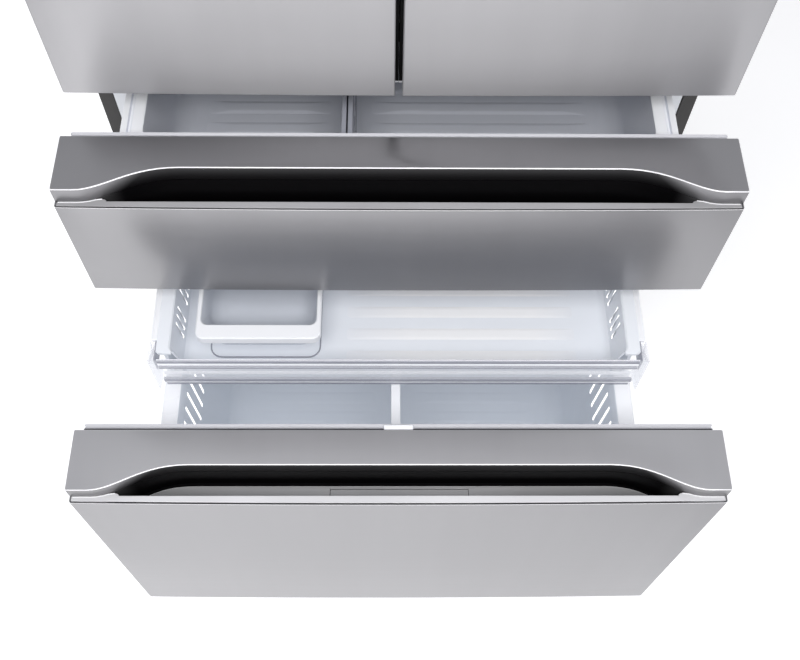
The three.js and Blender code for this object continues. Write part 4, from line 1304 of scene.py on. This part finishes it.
def machine_space():
    """Condenser coil, pipes and drier behind the slotted cover."""
    pan_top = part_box("rear_cover")[0].z
    fan_low, fan_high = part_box("condenser_fan")
    first_x = fan_high.x + 0.030
    rows, runs, pitch = 4, 7, 0.022
    for row in range(rows):
        points = []
        y = fan_low.y + 0.012 + row * 0.030
        for run in range(runs):
            x = first_x + pitch * run
            ends = (pan_top + 0.022, pan_top + 0.190)
            points += [(x, y, z) for z in (ends if run % 2 == 0 else ends[::-1])]
        tube(f"condenser_coil_{row + 1}", points, 0.0024, ENAMEL, "cabinet")
    wires = Shape()
    reach = (first_x - 0.006, first_x + pitch * (runs - 1) + 0.006)
    for z in (pan_top + 0.030 + index * 0.0125 for index in range(13)):
        for y in (fan_low.y + 0.005, fan_low.y + 0.110):
            wires.prism(circle((y, z), 0.0009, 6), "x", *reach)
    piece("condenser_wires", wires, ENAMEL, "cabinet")

    pot_low, pot_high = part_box("compressor")
    x, y, _ = (pot_low + pot_high) / 2
    top = pot_high.z - 0.070
    tube("discharge_pipe", [
        (x + 0.070, y, top), (x + 0.105, y, top + 0.004), (x + 0.130, y + 0.020, top - 0.030),
        (x + 0.130, y + 0.040, pan_top + 0.040), (x + 0.180, y + 0.050, pan_top + 0.016),
        (x + 0.270, y + 0.050, pan_top + 0.014)], 0.0028, COPPER, "cabinet")
    tube("suction_pipe", [
        (x - 0.068, y, top + 0.010), (x - 0.110, y, top + 0.014), (x - 0.130, y + 0.030, top - 0.010),
        (x - 0.130, y + 0.030, pan_top + 0.120), (x - 0.130, y - 0.050, pan_top + 0.130)],
        0.0038, COPPER, "cabinet")
    turned = (
        (0.003, -0.052), (0.003, -0.042), (0.010, -0.034), (0.010, 0.004), (0.003, 0.012), (0.003, 0.018))
    drier = Shape().loft([
        [(u, y + 0.085 + along, v) for u, v in circle((x + 0.150, pan_top + 0.110), radius, 18)]
        for radius, along in turned])
    piece("filter_drier", drier, COPPER, "cabinet")
    relay = Shape().block(
        (x + 0.045, y - 0.045, pan_top + 0.060), (x + 0.100, y + 0.045, pan_top + 0.125))
    piece("start_relay_cover", relay, BLACK, "cabinet", width=0.004)


def fresh_food_inside():
    """Upper shelf, air duct and lamp of the fresh food compartment."""
    low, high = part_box("shelf")
    base = low.z + 0.150
    edge = ((0.0, 0.0), (0.0, 0.012), (0.0012, 0.0138), (0.012, 0.0138), (0.0135, 0.0105))
    shape = Shape().loft(stack(low, high, [(inset, inset, base + z, 0.012) for inset, z in edge], 5))
    for side in (-1, 1):
        x = mirrored(side, high.x - 0.0065, high.x - 0.0005)
        shape.block((x[0], low.y + 0.010, base - 0.010), (x[1], high.y - 0.010, base + 0.001))
    piece("upper_shelf", shape, GLASS, "cabinet")

    back_y, duct_half, duct_z = 0.600, 0.130, (1.160, 1.675)
    tower = Shape().loft([
        upright_ring(shrink(-duct_half, duct_half, inset), y, shrink(*duct_z, inset), 0.030)
        for inset, y in ((0.0, back_y + 0.001), (0.0, back_y - 0.006), (0.004, back_y - 0.010))])
    vents = Shape()
    for z in (1.230, 1.330, 1.530, 1.620):
        for x in (column * 0.028 for column in range(-3, 4)):
            outline = rounded((x - 0.010, x + 0.010), (z, z + 0.006), 0.0029, 3)
            vents.prism(outline, "y", back_y - 0.03, back_y - 0.003)
    piece("air_duct", tower, LINER, "cabinet", cutter=vents)
    lamp_x, lamp_y, lamp_z = (-0.090, 0.090), (0.140, 0.200), 1.690
    lens = Shape().loft([
        level_ring(shrink(*lamp_x, inset), shrink(*lamp_y, inset), lamp_z - z, 0.014)
        for inset, z in ((0.0, -0.001), (0.0, 0.006), (0.004, 0.010))])
    piece("lamp_lens", lens, LENS, "cabinet")


# ------------------------------------------------------------------ the object

cabinet()
back_sheet()
machine_space()
fresh_food_inside()
door("left", -1)
door("right", 1)
drawer_front("middle", "middle_drawer")
lever_low, lever_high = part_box("easy_open_lever")
lever_notch = (lever_high.x + LEVER_GAP, (lever_low.y - LEVER_GAP, lever_high.y + LEVER_GAP))
drawer_front("freezer", "freezer_drawer", lever_notch)
open_lever()
middle_basket()
middle_divider()
freezer_basket()
freezer_divider()
freezer_tray()
ice_bin()
tray_trim()
rails()


# ------------------------------------------------------------------ stage and light


def add_stage():
    """A wide pale floor."""
    shape = Shape().prism(circle((0, 0), 9.0, 96), "z", -0.02, 0.0)
    floor = object_from("stage_floor", shape)
    finish = Finish("stage_pale", (0.90, 0.90, 0.905), 0.85)
    finish.tint(finish.range(finish.noise((3, 3, 3), 3.0), 0.0, 1.0), (0.915, 0.915, 0.92))
    finish.glow(WHITE, finish.range(finish.along("X"), 0.66, 0.36, -1.1, 1.1))
    floor.data.materials.append(finish.material)


def add_area(name, place, target, size, power, only=None):
    data = bpy.data.lights.new(name, "AREA")
    data.shape = "RECTANGLE"
    data.size, data.size_y = size
    data.energy = power
    lamp = bpy.data.objects.new(name, data)
    lamp.location = place
    lamp.rotation_mode = "QUATERNION"
    lamp.rotation_quaternion = (Vector(target) - Vector(place)).to_track_quat("-Z", "Y")
    lamp.visible_glossy = only != "diffuse"
    lamp.visible_diffuse = only != "glossy"
    bpy.context.scene.collection.objects.link(lamp)


def add_light():
    world = bpy.data.worlds.new("studio")
    world.use_nodes = True
    background = world.node_tree.nodes["Background"]
    background.inputs["Color"].default_value = (0.95, 0.96, 1.0, 1)
    background.inputs["Strength"].default_value = 0.60
    bpy.context.scene.world = world
    add_area("front_light", (0.0, -1.42, 2.55), (0, -0.35, 0.45), (1.6, 0.9), 34, "diffuse")
    add_area("steel_light", (-0.4, -2.9, 1.0), (-0.05, 0, 0.8), (2.3, 1.4), 26, "glossy")
    bpy.context.scene.view_settings.view_transform = "Standard"
    bpy.context.scene.cycles.use_denoising = True


add_stage()
add_light()
